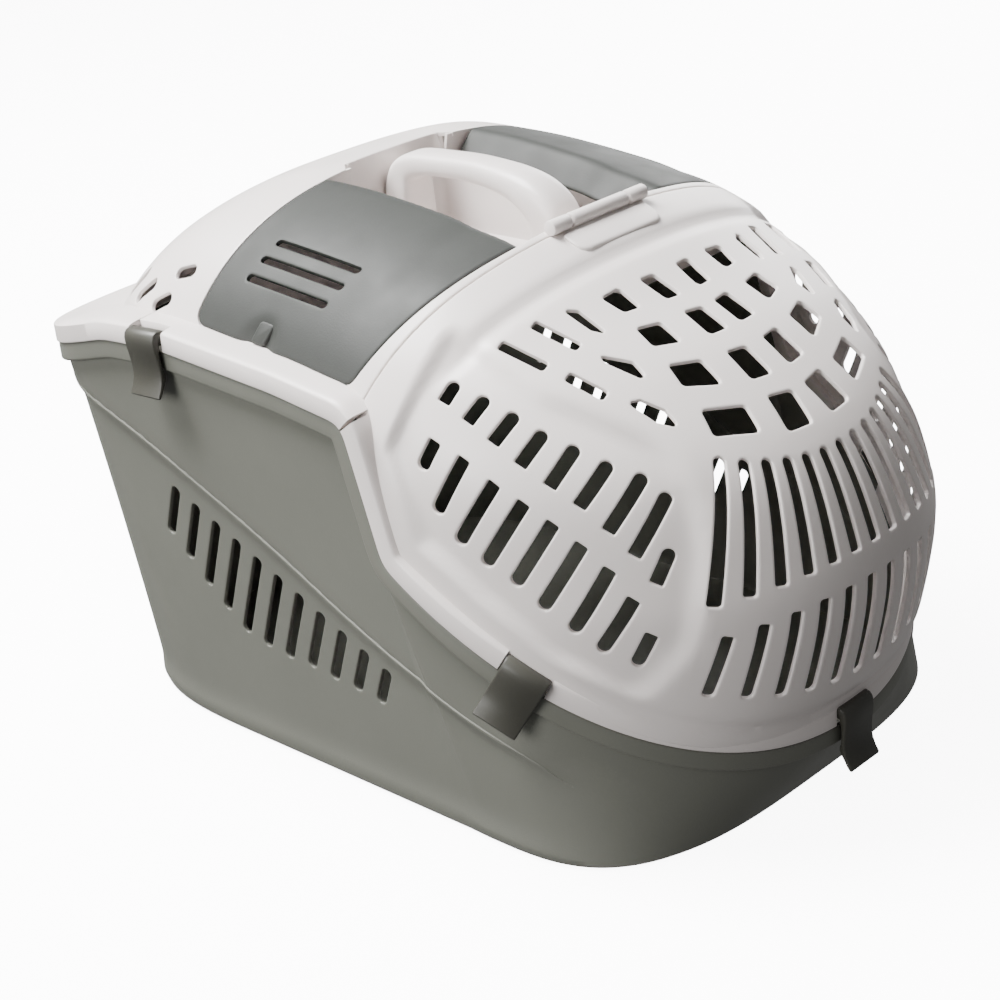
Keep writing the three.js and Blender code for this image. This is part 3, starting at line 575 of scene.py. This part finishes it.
def crease_depth(p):
    """How far the tub's lower side panel is set back below its crease line."""
    side = ease((np.abs(p[:, 0]) - 90) / 45) * ease((p[:, 1] - 20) / 90) * ease((452 - p[:, 1]) / 40)
    return -PANEL_STEP * ease((crease_z(p[:, 1]) - p[:, 2]) / 7) * side * ease(p[:, 2] / 20)


def crease_bead(chart):
    """Fine raised line along the crease of the right side, thinning out at both ends."""
    count, smooth = 150, 6
    y = np.linspace(CREASE[-1][0], CREASE[0][0] - 6, count)
    z = crease_z(y)
    z = np.r_[np.full(smooth, z[0]), z, np.full(smooth, z[-1])]
    z = np.convolve(z, np.ones(2 * smooth + 1) / (2 * smooth + 1), "valid")
    uv = chart.flat(np.column_stack([np.full_like(y, 163.0), y, z]))
    p, n = chart.surface(uv), normals(chart, uv)
    across = unit(np.cross(n, unit(np.gradient(p, axis=0))))
    order = np.arange(count)
    size = ease(np.minimum(order, order[::-1]) / 25)[:, None]
    n = n * np.sign(n[:, :1])
    rows = []
    for wide, tall in BEAD_LINE:
        rise = tall if tall < -1 else tall * size - 0.2 * (1 - size)
        rows.append(p + across * (wide * (0.4 + 0.6 * size)) + n * rise)
    return loft([np.array([r[k] for r in rows]) for k in range(count)])


def slot_loop(chart, a, b, wide, round_a=1.0, round_b=1.0, wide_b=None):
    """Outline of a slot from a to b on a chart's surface, in space."""
    a, b = chart.surface(chart.flat(np.array([a, b], float)))
    n = normals(chart, chart.flat(np.array([(a + b) / 2])))[0]
    u = unit(b - a)
    w = unit(np.cross(n, u))
    wa, wb = wide / 2, (wide_b or wide) / 2
    corners = [a - w * wa, b - w * wb, b + w * wb, a + w * wa]
    ra, rb = wa * round_a * 0.98, wb * round_b * 0.98
    return rounded(corners, [ra, rb, rb, ra])


def tub_slots(chart):
    last = len(SIDE_SLOTS["tall"]) - 1
    slots = []
    for k, tall in enumerate(SIDE_SLOTS["tall"]):
        y, z = (mix(a, b, k / last) for a, b in zip(SIDE_SLOTS["first"], SIDE_SLOTS["last"]))
        for sign in (-1, 1):
            top, low = (sign * 163, y, z), (sign * 158, y + SIDE_SLOTS["lean"] * tall, z - tall)
            slots.append(slot_loop(chart, top, low, SIDE_SLOTS["width"], 0.9))
    return slots


def tub_shape():
    back, bottom = RIM_COUNT / 2, -FOOT_ROUND - FLOOR_REACH
    chart = FormulaChart(tub_point, (-back, bottom), (back, TUB_TALL))
    outer = [(-back, bottom), (back, bottom), (back, TUB_TALL), (-back, TUB_TALL)]
    open_side = lambda uv: (np.abs(uv[:, 0]) > back - 1e-3) | (uv[:, 1] < bottom + 1e-3)
    points, faces, flat = sheet(chart, np.array(outer, float), tub_slots(chart), 5.0, crease_depth,
                                edge=0.7, outer_edge=0, bare=open_side)
    ring = np.flatnonzero(flat[:, 1] < bottom + 1e-3)
    ring = ring[np.argsort(flat[ring, 0])][:-1].tolist()
    faces += [tuple(ring[::-1]), tuple(i + len(flat) for i in ring)]
    bead = crease_bead(chart)
    return joined((points, faces), bead, mirrored(bead))


def ledge(y):
    """How far in from the rim line the flange's top reaches, to meet the foot of the dome."""
    return np.interp(y, (60, 150, 205, 330, 420), (-WALL, -9, -15, -15, -30))


def rim_section(profile, starts, ends, step=3.0):
    """Band along the rim from starts to ends. Its profile is a list of (out, up, share of the
    ledge), and a corner with a share of 1 rides on the ledge's inner edge."""
    count = max(int(abs(ends - starts) / step), 2)
    s = np.linspace(starts, ends, count + 1)
    reach_in = ledge(on_loop(RIM_LOOP, s)[:, 1])
    rows = [rim_place(s, mix(out, reach_in, share), np.full_like(s, up)) for out, up, share in profile]
    return [np.array([r[k] for r in rows]) for k in range(len(s))]


def soft_profile(corners, radius, steps=4):
    """A band's profile with its corners rounded."""
    return [tuple(p) for p in rounded(corners, radius, steps)]


def build_tub():
    lip = soft_profile([(-WALL, -LIP_TALL + 1, 0), (0.5, -LIP_TALL, 0), (LIP_OUT, -LIP_TALL + 0.5, 0),
                        (LIP_OUT, 0, 0), (-WALL, 0, 0)], [0.4, 0.3, 1.5, 1.5, 0.5])
    band = rim_section(lip, 0, RIM_COUNT)[:-1]
    tub = piece("tub_shell", joined(tub_shape(), loft(band, closed=True)), "tub", SAGE)
    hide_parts("base_tub")


build_tub()


# ---- lines that the mouldings share ----
def arch_line(y_of_z, count=420):
    """Where a leaning plane across the carrier cuts the dome, from the right side to the left."""
    base = 200.0
    origin = np.array((0, y_of_z(base), base))
    rise = unit((0, y_of_z(base + 1) - y_of_z(base), 1))
    a = np.linspace(0.05, math.pi - 0.05, count)[:, None]
    return reach(origin, np.cos(a) * np.array((1.0, 0, 0)) + np.sin(a) * rise)


def on_top(x, y):
    """Point of the dome over a place in plan."""
    x, y = np.broadcast_arrays(np.asarray(x, float), np.asarray(y, float))
    low, high = np.full(x.shape, 150.0), np.full(x.shape, 326.0)
    for _ in range(34):
        z = (low + high) / 2
        held = dome_half(y, z) > np.abs(x)
        low, high = np.where(held, z, low), np.where(held, high, z)
    return np.stack([x, y, low], -1)


def on_front(x, z):
    """Point of the door's front at a distance from the middle and a height."""
    nose = np.interp(z, NOSE[:, 1], NOSE[:, 0])
    arch = DOME_HALF * super_cut((z - DOME_BASE) / (305.5 - DOME_BASE), DOME_POWER)
    return np.array((x, DOOR_CENTRE - (DOOR_CENTRE - nose) * super_cut(abs(x) / arch, FRONT_POWER), z))


def on_side(y, z, sign):
    return np.array((sign * dome_half(y, z), y, z))


def seam_line(shift):
    """The joint between door and cover, from the right foot to the left one."""
    line = arch_line(lambda z: seam_y(z, shift))
    foot = on_loop(RIM_LOOP, SEAM_S)[2] + 5
    return line[line[:, 2] > foot]


def depth_in(points, loop):
    """How far flat points lie inside a closed flat loop, negative outside."""
    best = np.full(len(points), 1e9)
    for a, b in zip(loop, np.roll(loop, -1, axis=0)):
        d = b - a
        t = np.clip(((points - a) @ d) / (d @ d), 0, 1)
        best = np.minimum(best, np.linalg.norm(points - a - t[:, None] * d, axis=1))
    return np.where(within(points, loop), best, -best)


# ---- door ----
DOOR_CHART = DomeChart((0, 190, 130), 33, 185)
SIDE_PANEL = [(-120, 121, 277), (-165, 132, 226), (-168, 112, 178), (-161, 79, 153), (-148, 44, 123),
              (-124, 10, 99), (-107, -10, 127), (-96, -13, 172), (-88, -6, 200), (-90, 15, 225),
              (-104, 40, 238), (-117, 67, 250), (-120, 91, 263)]
# ends of the side panel's slots, as (y, z) of the top and of the bottom
UPPER_SLOTS = [((107, 258), (109, 249)), ((90, 252), (94, 241)), ((74, 245), (79, 232)),
               ((59, 237), (64, 222)), ((44, 230), (49, 212)), ((29, 222), (35, 202)),
               ((15, 215), (22, 189)), ((4, 205), (11, 176)), ((-2, 178), (2, 161))]
LOWER_SLOTS = [((108, 231), (114, 216)), ((91, 224), (105, 194)), ((74, 213), (93, 179)),
               ((59, 204), (79, 169)), ((45, 194), (64, 160)), ((32, 183), (51, 148)),
               ((20, 170), (37, 136)), ((10, 154), (25, 125)), ((3, 134), (11, 116))]
# windows of the top panel, as corners in plan on the left side
TOP_WINDOWS = [
    [(-49, 84), (-35, 84), (-35, 69), (-46, 71)], [(-20, 83), (-9, 82), (-7, 65), (-18, 66)],
    [(-50, 61), (-35, 57), (-36, 42), (-52, 48)], [(-18, 56), (-5, 54), (-5, 37), (-19, 38)],
    [(-55, 37), (-37, 30), (-38, 15), (-58, 25)], [(-21, 27), (-7, 25), (-7, 8), (-22, 10)],
    [(-60, 13), (-37, 3), (-40, -9), (-64, 2)], [(-22, 1), (-5, -2), (-8, -17), (-26, -15)],
    [(-72, 91), (-65, 85), (-64, 65), (-70, 73)], [(-79, 61), (-68, 48), (-70, 34), (-80, 56)],
    [(-88, 37), (-81, 33), (-75, 23), (-75, 13), (-83, 22)]]
TOP_SLOTS = [((-90, 94), (-83, 70)), ((-110.5, 98.5), (-104, 74)), ((-100, 64), (-93.5, 45))]


def front_slots():
    done = []
    for k in range(-6, 7):
        share = abs(k) / 6
        top = on_front(12.6 * k - math.copysign(7, k) * share ** 2, 204 + 11 * share ** 2)
        low = on_front(16 * k, 153 - 6 * share ** 2)
        done.append(slot_loop(DOOR_CHART, top, low, 6.2, 1, 0.5, 7.4 + 0.8 * (share > 0.9)))
    for k in np.arange(-5.5, 6):
        share = abs(k) / 5.5
        top = on_front(16.6 * k, 138 - 8 * share ** 2)
        low = on_front(17.9 * k, 78 + 18 * share ** 2)
        done.append(slot_loop(DOOR_CHART, top, low, 7, 0.45, 0.8))
    return done


def mirrored_loops(loops):
    return [np.array(loop) * (side, 1, 1) for loop in loops for side in (1, -1)]


def top_windows():
    done = []
    for corners in TOP_WINDOWS:
        corners = on_top(*np.array(corners, float).T)
        done.append(rounded(corners, 2.6 if len(corners) == 4 else 1.8))
    for a, b in TOP_SLOTS:
        done.append(slot_loop(DOOR_CHART, on_top(*a), on_top(*b), 6.2, 0.6, 0.6))
    return mirrored_loops(done)


def side_slots():
    done = []
    for rows, ends in ((UPPER_SLOTS, (1, 0.3)), (LOWER_SLOTS, (0.35, 1))):
        for top, low in rows:
            done.append(slot_loop(DOOR_CHART, on_side(*top, -1), on_side(*low, -1), 7.6, *ends))
    return mirrored_loops(done)


PANEL_FLAT = DOOR_CHART.flat(rounded(SIDE_PANEL, [6, 8, 10, 20, 30, 12, 30, 20, 14, 40, 40, 30, 20]))


def rim_gap(p):
    """Distance from the rim line, measured square to it in the side view."""
    s = RIM_LOOP[:RIM_BACK]
    tree = KDTree(len(s))
    for k, q in enumerate(s):
        tree.insert((0, q[1], q[2]), k)
    tree.balance()
    return np.array([tree.find((0, q[1], q[2]))[2] for q in p])


def door_relief(p):
    """Raised and sunken areas of the door: sunken side panels, and soft valleys beside the
    arch and above the flange."""
    left = np.where(p[:, :1] > 0, p * (-1, 1, 1), p)
    depth = depth_in(DOOR_CHART.flat(left), PANEL_FLAT)
    lift = -4.2 * ease(depth / 9 + 0.5)
    from_seam = (seam_y(p[:, 2]) - p[:, 1]) / math.hypot(1, SEAM["lean"])
    top = ease((p[:, 2] - 250) / 25)
    lift += -2.6 * np.exp(-((from_seam - 29) / 4.5) ** 2) * top
    lift += -0.9 * ease((from_seam - 27) / 6) * top
    lift += -2.6 * np.exp(-((rim_gap(p) - 17) / 4) ** 2) * ease((60 - p[:, 1]) / 60)
    return lift


def flange_bands(start, end, gaps, backed):
    """The flange along the rim, broken where the clips sit. Where it is backed, its inner part
    goes on behind them, clear of the hooks' swing."""
    def band(inner, out, corner):
        corners = [(inner, GAP, 0), (out, GAP, 0), (out, FLANGE_TALL, 0), (inner, FLANGE_TALL + 1.2, 1),
                   (inner, FLANGE_TALL - 2, 1), (inner, FLANGE_TALL - 3, 0)]
        return soft_profile(corners, [0.5, 0.8, corner, 0.5, 0.5, 0.5])

    half_gap = CLIP_WIDE / 2 + 0.8
    marks = [start]
    for g in sorted(gaps):
        marks += [g - half_gap, g + half_gap]
    marks.append(end)
    whole, behind_clip = band(-WALL, FLANGE_OUT, 2.6), band(-6, -3.6, 0.3)
    done = [loft(rim_section(whole, a, b)) for a, b in zip(marks[::2], marks[1::2])]
    if backed:
        inner_marks = marks[1:-1]
        done += [loft(rim_section(behind_clip, a, b)) for a, b in zip(inner_marks[::2], inner_marks[1::2])]
    return done


def barrel(x0, x1, radius):
    """Hinge knuckle along X with rounded ends."""
    a = np.linspace(0, 2 * math.pi, 28, endpoint=False)
    rows = []
    for x, r in ((x0, radius - 1), (x0 + 0.3, radius - 0.3), (x0 + 1, radius), (x1 - 1, radius),
                 (x1 - 0.3, radius - 0.3), (x1, radius - 1)):
        rows.append(np.column_stack([a * 0 + x, HINGE["y"] + r * np.cos(a), HINGE["z"] + r * np.sin(a)]))
    return loft(rows)


def hinge_leaf():
    """The door's knuckle and the raised plate in front of it, with round lower corners."""
    plan = rounded([(-33, 122.5), (-33, 108), (33, 108), (33, 122.5)], [1.5, 8, 8, 1.5], 8)
    rows = []
    for grow, lift in ((0, -1.5), (0, 1.0), (-0.5, 1.6), (-1.4, 1.9)):
        middle = np.array((0, 115.2))
        spot = middle + (plan - middle) * (1 + grow / np.array((33, 7.2)))
        rows.append(on_top(spot[:, 0], spot[:, 1]) + (0, 0, lift))
    return [loft(rows), barrel(-HINGE["knuckle"], HINGE["knuckle"], HINGE["radius"])]


def build_door():
    seam = seam_line(-0.4)
    s = np.linspace(-SEAM_S + 3, SEAM_S - 3, 420)
    bottom = rim_place(s, np.zeros_like(s), np.full_like(s, 3.5))
    holes = front_slots() + top_windows() + side_slots()
    points, faces, _ = sheet(DOOR_CHART, np.vstack([seam, bottom]), holes, 4.2, door_relief, edge=0.8)
    gaps = [CLIP_S[k] for k in ("front_left", "front_centre", "front_right")]
    bands = flange_bands(-SEAM_S + 0.6, SEAM_S - 0.6, gaps, False)
    shape = joined((points, faces), *bands, *hinge_leaf())
    door = piece("door_grille", shape, "door", CREAM)
    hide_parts("front_door")


build_door()


# ---- storage lids ----
LID_LONG, LID_SLOPE = 142.0, 20.0
LID_ARC = 128.0
LATCH_V = LID_LONG * 0.6       # the latch's place along the lid
VENTS = dict(across=(67, 80, 93), half=2.2, start=54, end=120)


def lid_y(z, t):
    """Where the plane at the share t of a lid's length stands at height z."""
    front = LID["front"] + LID["front_lean"] * (299 - z)
    back = LID["back"] + LID["back_lean"] * (318 - z)
    return mix(front, back, t)


def lid_limits():
    """Fan angles of the ridge and of the lower edge on planes along the lid."""
    ts, ridge, low = np.linspace(-0.06, 1.06, 45), [], []
    for t in ts:
        line = arch_line(lambda z: lid_y(z, t), 900)
        line = line[line[:, 0] > 0]
        a = np.linspace(0.05, math.pi - 0.05, 900)[:len(line)]
        above = line[:, 2] - np.interp(line[:, 1], RIM_LOOP[:RIM_BACK, 1], RIM_LOOP[:RIM_BACK, 2])
        low.append(np.interp(14.5, above, a))
        ridge.append(np.interp(-LID["ridge"], -line[:, 0], a))
    return ts, np.array(ridge), np.array(low)


LID_T, LID_RIDGE_A, LID_LOW_A = lid_limits()


def lid_point(uv):
    """Point of the right lid: u across from the ridge, negative down the inner slope, v along."""
    u, t = uv[..., 0], uv[..., 1] / LID_LONG
    base = 200.0
    origin = np.stack([t * 0, lid_y(base, t), t * 0 + base], -1)
    rise = unit(np.stack([t * 0, lid_y(base + 1, t) - lid_y(base, t), t * 0 + 1], -1))
    top, low = np.interp(t, LID_T, LID_RIDGE_A), np.interp(t, LID_T, LID_LOW_A)

    def at(across):
        a = (top + (low - top) * np.maximum(across, 0) / LID_ARC)[..., None]
        p = reach(origin, np.cos(a) * np.array((1.0, 0, 0)) + np.sin(a) * rise)
        down = np.minimum(across, 0)[..., None] / LID_SLOPE
        return p + down * np.array((LID["ridge"] - LID["inner"], 0, LID["drop"]))

    blur = 4.5 * np.clip(1 - np.abs(u) / 9, 0, 1)
    return (at(u - blur) + 2 * at(u - blur / 2) + 2 * at(u) + 2 * at(u + blur / 2) + at(u + blur)) / 8


LID_CHART = FormulaChart(lid_point, (-LID_SLOPE, 0), (LID_ARC, LID_LONG))


def lid_outline(grow):
    """Outline of the lid in its chart, with round outer corners."""
    u0, u1, v0, v1 = -LID_SLOPE, LID_ARC + grow, -grow, LID_LONG + grow
    return rounded([(u0, v0), (u1, v0), (u1, v1), (u0, v1)], [2, 5 + grow, 9 + grow, 2], 8)


def lid_relief(p):
    """Shallow finger scoop at the middle of the lid's lower edge."""
    uv = LID_CHART.flat(p)
    share = np.hypot((uv[:, 0] - LID_ARC) / 20, (uv[:, 1] - LATCH_V) / 17)
    return -2.6 * ease((1 - share) / 0.55)


def lid_latch():
    """Small tongue that fills the scoop's middle and holds the lid shut."""
    rows = []
    for grow, lift in ((0, -4.0), (0, 0.2), (-0.5, 0.8), (-1.3, 1.1)):
        mid = np.array((LID_ARC - 8, LATCH_V))
        half = np.array((7.0, 6.0)) + grow
        uv = rounded([mid + half * c for c in ((-1, -1), (1, -1), (1, 1), (-1, 1))], 2.2 + grow * 0.4, 4)
        rows.append(LID_CHART.surface(uv) + normals(LID_CHART, uv) * (lift - 1.8))
    return loft(rows)


def build_lids():
    vents = []
    for u in VENTS["across"]:
        u0, u1 = u - VENTS["half"], u + VENTS["half"]
        v0, v1 = VENTS["start"], VENTS["end"]
        vents.append(rounded([(u0, v0), (u1, v0), (u1, v1), (u0, v1)], 2.1))
    points, faces, _ = sheet(LID_CHART, lid_outline(0), vents, 4.0, lid_relief, thick=2.6, edge=1.0)
    shape = joined((points, faces), lid_latch())
    for side, form in (("right", shape), ("left", mirrored(shape))):
        # the lids take the darker copy of the sage plastic, with painted shade
        lid = piece(f"storage_cover_{side}", form, f"lid_{side}", SAGE_LID_SHADED)
        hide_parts(f"storage_lid_{side}")


build_lids()


# ---- top cover ----
COVER_CHART = DomeChart((0, 250, 170), 90, 150)


def lids_and_well():
    """Outline of the one opening in the cover that the two lids and the well fill."""
    grow, inner = 0.7, LID["inner"]
    uv = dense(lid_outline(grow), 5)
    uv = uv[uv[:, 0] > 6]
    uv = uv[np.argsort(np.arctan2(uv[:, 1] - LID_LONG / 2, uv[:, 0] - 6))]
    front = [on_top(x, 132.4) for x in (12, 24, 36, inner)]
    back = [on_top(inner, LID["back"] + grow), on_top(37, WELL["back"])]
    right = np.vstack([*front, LID_CHART.surface(uv), *back])
    return np.vstack([right, right[::-1] * (-1, 1, 1)])


def rear_y(x, lift):
    """Where the tail stands a given height above the rim."""
    low, high = 300.0, 452.0
    for _ in range(30):
        y = (low + high) / 2
        above = on_top(x, y)[2] - np.interp(y, *np.array(RIM_LINE, float).T)
        low, high = (y, high) if above > lift else (low, y)
    return low


# distance from the middle, height of the lower end above the rim, and length in plan
TAIL_SLOTS = [(0, 16, 42), (23, 16, 41), (46, 16, 39), (69, 16, 36), (92, 16, 32), (113, 16, 27),
              (130, 16, 23), (142, 15.5, 20), (150, 15.5, 17), (139, 33, 16)]


def tail_slots():
    slots = []
    for x, lift, tall in TAIL_SLOTS:
        for side in ((-1, 1) if x else (1,)):
            low = rear_y(x, lift)
            high = low - tall
            slots.append(slot_loop(COVER_CHART, on_top(side * x * 0.985, high), on_top(side * x, low), 7.5))
    return slots


def well_shell():
    """The handle well: a deep tray with a leaning front and low side walls between the lids."""
    lean = SEAM["lean"]
    front = SEAM["y"] + lean * (SEAM["z"] - WELL["floor"]) + WELL["lead"]

    def plan(inset):
        w, y0, y1 = WELL["half"] - inset, front - WALL + inset, WELL["back"] + WALL - inset
        return dense(rounded([(w, y0), (w, y1), (-w, y1), (-w, y0)], max(5 - inset, 1.5), 5), 5)

    def placed(flat, z):
        share = ease((front + 20 - flat[:, 1]) / 16)
        return np.column_stack([flat[:, 0], flat[:, 1] - lean * (z - WELL["floor"]) * share, z])

    def level(flat, z):
        return placed(flat, np.full(len(flat), float(z)))

    def top(flat):
        side = np.interp(flat[:, 1], (150, 274), LID_AXIS) - WELL["drop"]
        side = side + (flat[:, 1] > 274) * (flat[:, 1] - 274) * 0.1
        end = np.maximum(ease((front + 4 - flat[:, 1]) / 3), ease((flat[:, 1] - WELL["back"] + 4) / 3))
        z = side
        for _ in range(3):
            spot = placed(flat, z)
            z = mix(side, on_top(spot[:, 0], spot[:, 1])[:, 2] - 0.5, end)
        return placed(flat, z)

    outer = plan(0)
    rows = [level(outer, WELL["floor"] - WALL), level(outer, WELL["floor"] + 8), top(outer)]
    middle = (0, (front + WELL["back"]) / 2)
    size = np.array((WELL["half"], (WELL["back"] - front) / 2 + WALL))
    for inset, z in ((WALL, None), (WALL, WELL["floor"] + 5), (WALL + 1, WELL["floor"] + 1.4),
                     (WALL + 3.5, WELL["floor"])):
        flat = middle + (outer - middle) * (1 - inset / size)
        rows.append(top(flat) if z is None else level(flat, z))
    return loft(rows)


def outer_knuckles():
    """The cover's two hinge knuckles, one at each end of the door's, on small feet."""
    shapes = []
    for a, b in ((-HINGE["half"], -HINGE["knuckle"] - 1.5), (HINGE["knuckle"] + 1.5, HINGE["half"])):
        shapes.append(barrel(a, b, HINGE["radius"]))
        foot = [np.array([(x, 127.5, 300), (x, 131, 300), (x, 130.4, 305), (x, 128, 307.5)])
                for x in (a + 0.8, b - 0.8)]
        shapes.append(loft(foot))
    return shapes


REAR_WALL = dict(across=(38.5, 43, 48, 53, 59), low=272, low_rise=1.6, front=1.3, back=3.2)


def rear_walls():
    """Walls that close the cover behind the inner slope of each lid."""
    x = np.array(REAR_WALL["across"])

    def section(behind):
        z = np.full_like(x, 318.0)
        for _ in range(3):
            y = lid_y(z, 1) + behind
            z = on_top(x, y)[:, 2] - 0.7
        low = REAR_WALL["low"] + REAR_WALL["low_rise"] * (x[::-1] - x[0])
        top_edge = np.column_stack([x, y, z])
        return np.vstack([top_edge, np.column_stack([x[::-1], lid_y(low, 1) + behind, low])])

    wall = loft([section(REAR_WALL["front"]), section(REAR_WALL["back"])])
    return [wall, mirrored(wall)]


def build_cover():
    seam = seam_line(0.4)
    s = np.linspace(-SEAM_S - 3, SEAM_S + 3 - RIM_COUNT, 620)
    bottom = rim_place(s, np.zeros_like(s), np.full_like(s, 3.5))
    points, faces, _ = sheet(COVER_CHART, np.vstack([seam, bottom]), [lids_and_well()] + tail_slots(), 5.0,
                             None, edge=0.8)
    gaps = [CLIP_S["rear_right"], RIM_COUNT + CLIP_S["rear_left"]]
    bands = flange_bands(SEAM_S + 0.6, RIM_COUNT - SEAM_S - 0.6, gaps, True)
    shapes = [(points, faces), *bands, well_shell(), *rear_walls(), *outer_knuckles()]
    cover = piece("cover_shell", joined(*shapes), "cover", CREAM)
    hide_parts("top_cover")


build_cover()


# ---- carrying handle ----
# its middle line from foot to foot, as (y, z, half thickness, half width, squareness)
HANDLE_LINE = [(157, 262.4, 13.5, 16.5, 4), (157, 268, 13.5, 16.5, 4), (157, 270, 12.6, 14, 5),
               (157, 282, 12.4, 13, 5), (157.5, 291, 12, 13, 4.2), (161, 299.5, 11.4, 13.2, 3.4),
               (170, 306.8, 10.6, 13, 2.8), (183, 312, 9.2, 12, 2.5), (199, 315, 8, 10.9, 2.5),
               (217, 316.6, 7.3, 10.2, 2.6), (243, 316.2, 6.9, 10.2, 2.8), (260, 314.6, 7.2, 10.6, 3.4),
               (269.5, 309.5, 8.2, 11.4, 4.4), (272.5, 299, 9.4, 12, 6), (272.5, 284, 9.6, 12.4, 6),
               (272.5, 270, 9.8, 13, 6), (272.5, 268, 10, 16.5, 5), (272.5, 262.4, 10, 16.5, 5)]


def build_handle():
    line = spline(HANDLE_LINE, 97)
    run = unit(np.gradient(line[:, :2], axis=0))
    a = np.linspace(0, 2 * math.pi, 36, endpoint=False)
    rows = []
    for (y, z, tall, wide, power), (ry, rz) in zip(line, run):
        c, d = np.cos(a), np.sin(a)
        across = wide * np.sign(c) * np.abs(c) ** (2 / power)
        rise = tall * np.sign(d) * np.abs(d) ** (2 / power)
        rows.append(np.column_stack([across, y - rz * rise, z + ry * rise]))
    handle = piece("handle_grip", loft(rows), "cover", CREAM)
    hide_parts("carry_handle")


build_handle()


# ---- clips ----
# outline of a clip seen along the rim, as (out, up): hook, face with a groove, hollow, and lip
CLIP_LINE = [(-0.8, 9.4), (0.2, 10.8), (2.2, 11.6), (5.4, 11.8), (7.6, 11.1), (9.1, 9.4), (9.8, 7.2),
             (9.9, 4), (9.5, 0), (8.9, -4), (8.4, -9), (8.4, -13), (9.1, -17), (10.5, -20.6), (12, -23.2),
             (12.6, -24.7), (12.1, -25.7), (10.9, -25.6), (9.2, -23.4), (7.3, -19.8), (5.6, -17),
             (4.7, -14.6), (4.7, -12.6), (5.6, -10), (6.1, -5), (6.2, 0.5), (5.2, 4.8), (-0.7, 5.4)]


def build_clips():
    line = np.array(CLIP_LINE, float)
    ahead, behind = unit(np.roll(line, -1, axis=0) - line), unit(line - np.roll(line, 1, axis=0))
    normal = unit(np.stack([-(ahead + behind)[:, 1], (ahead + behind)[:, 0]], 1))
    if loop_area(line) < 0:
        normal = -normal
    for name, s in CLIP_S.items():
        place, out, up = rim_frame(float(s))
        along = unit(np.cross(out, up))
        rows = []
        for w, inset in ((-13, 0.8), (-12.75, 0.3), (-12.2, 0), (12.2, 0), (12.75, 0.3), (13, 0.8)):
            o, u = (line + normal * inset).T
            rows.append(place + along * w + o[:, None] * out + u[:, None] * up)
        clip = piece(f"clip_shaped_{name}", loft(rows), f"clip_{name}", OLIVE)
        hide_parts(f"clip_{name}")


build_clips()


# ---- the plain pieces that keep their CAD shape ----
def dress(names, material):
    for name in names:
        slots = bpy.data.objects[name].material_slots
        for slot in slots:
            slot.material = material


SIDES = ("left", "right")
dress([f"storage_tray_{side}" for side in SIDES], CREAM)
dress(["door_hinge_pin", "handle_screw_front", "handle_screw_rear"]
      + [f"lid_pin_{side}_{end}" for side in SIDES for end in ("front", "rear")]
      + [f"clip_pin_{name}" for name in CLIPS], STEEL)


# ---- studio ----
def aim(thing, at):
    thing.rotation_euler = (Vector(at) - thing.location).to_track_quat("-Z", "Y").to_euler()


# name, place, size and power of each soft light
LIGHTS = [("key", (-0.6, 0.9, 2.4), 1.3, 215), ("right", (2.5, 0.9, 1.1), 1.6, 60),
          ("rear", (-0.6, 1.6, 2.2), 1.6, 50), ("left", (-2.6, 0.2, 1.0), 1.4, 62)]
AIM_POINT = (0, 0, 0.15)
SKY_LIGHT = 0.2


def place_camera():
    scene = bpy.context.scene
    camera = bpy.data.objects.new("camera", bpy.data.cameras.new("camera"))
    right = Vector((0.68712, -0.72026, -0.09532))
    down = Vector((-0.35365, -0.21696, -0.90987))
    ahead = Vector((0.63466, 0.65890, -0.40380))
    turn = Matrix((right, -down, -ahead)).transposed()
    camera.matrix_world = Matrix.Translation((-0.83727, -0.84998, 0.64309)) @ turn.to_4x4()
    camera.data.lens, camera.data.sensor_width = 79.2, 36
    scene.collection.objects.link(camera)
    scene.camera = camera


def stage_piece(name, make, height, material):
    """A part of the set. It glows evenly and doesn't light the carrier."""
    work = bmesh.new()
    make(work)
    mesh = bpy.data.meshes.new(name)
    work.to_mesh(mesh)
    work.free()
    mesh.materials.append(material)
    thing = bpy.data.objects.new(name, mesh)
    thing.location.z = height
    thing.visible_diffuse = thing.visible_glossy = False
    bpy.context.scene.collection.objects.link(thing)
    return thing


def build_set():
    """A pale floor and the round backdrop where it ends."""
    pale = grainy("pale_floor", (0.95, 0.945, 0.95), 0.8, 0.004)
    lit = pale.node_tree.nodes["Principled BSDF"]
    lit.inputs["Emission Color"].default_value = (1, 0.99, 1, 1)
    lit.inputs["Emission Strength"].default_value = 9.0
    flat = lambda work: bmesh.ops.create_grid(work, x_segments=1, y_segments=1, size=6)
    bowl = lambda work: bmesh.ops.create_cone(work, segments=96, radius1=5.8, radius2=7.5, depth=8)
    stage_piece("floor", flat, -0.0005, pale)
    stage_piece("backdrop", bowl, 3.9, pale).visible_shadow = False


def light_set():
    scene = bpy.context.scene
    for name, place, size, power in LIGHTS:
        light = bpy.data.objects.new(name, bpy.data.lights.new(name, "AREA"))
        light.data.size, light.data.energy = size, power
        light.location = place
        aim(light, AIM_POINT)
        scene.collection.objects.link(light)
    world = bpy.data.worlds.new("studio")
    world.use_nodes = True
    sky = world.node_tree.nodes["Background"]
    sky.inputs["Color"].default_value = (1, 1, 1, 1)
    sky.inputs["Strength"].default_value = SKY_LIGHT
    scene.world = world


place_camera()
build_set()
light_set()
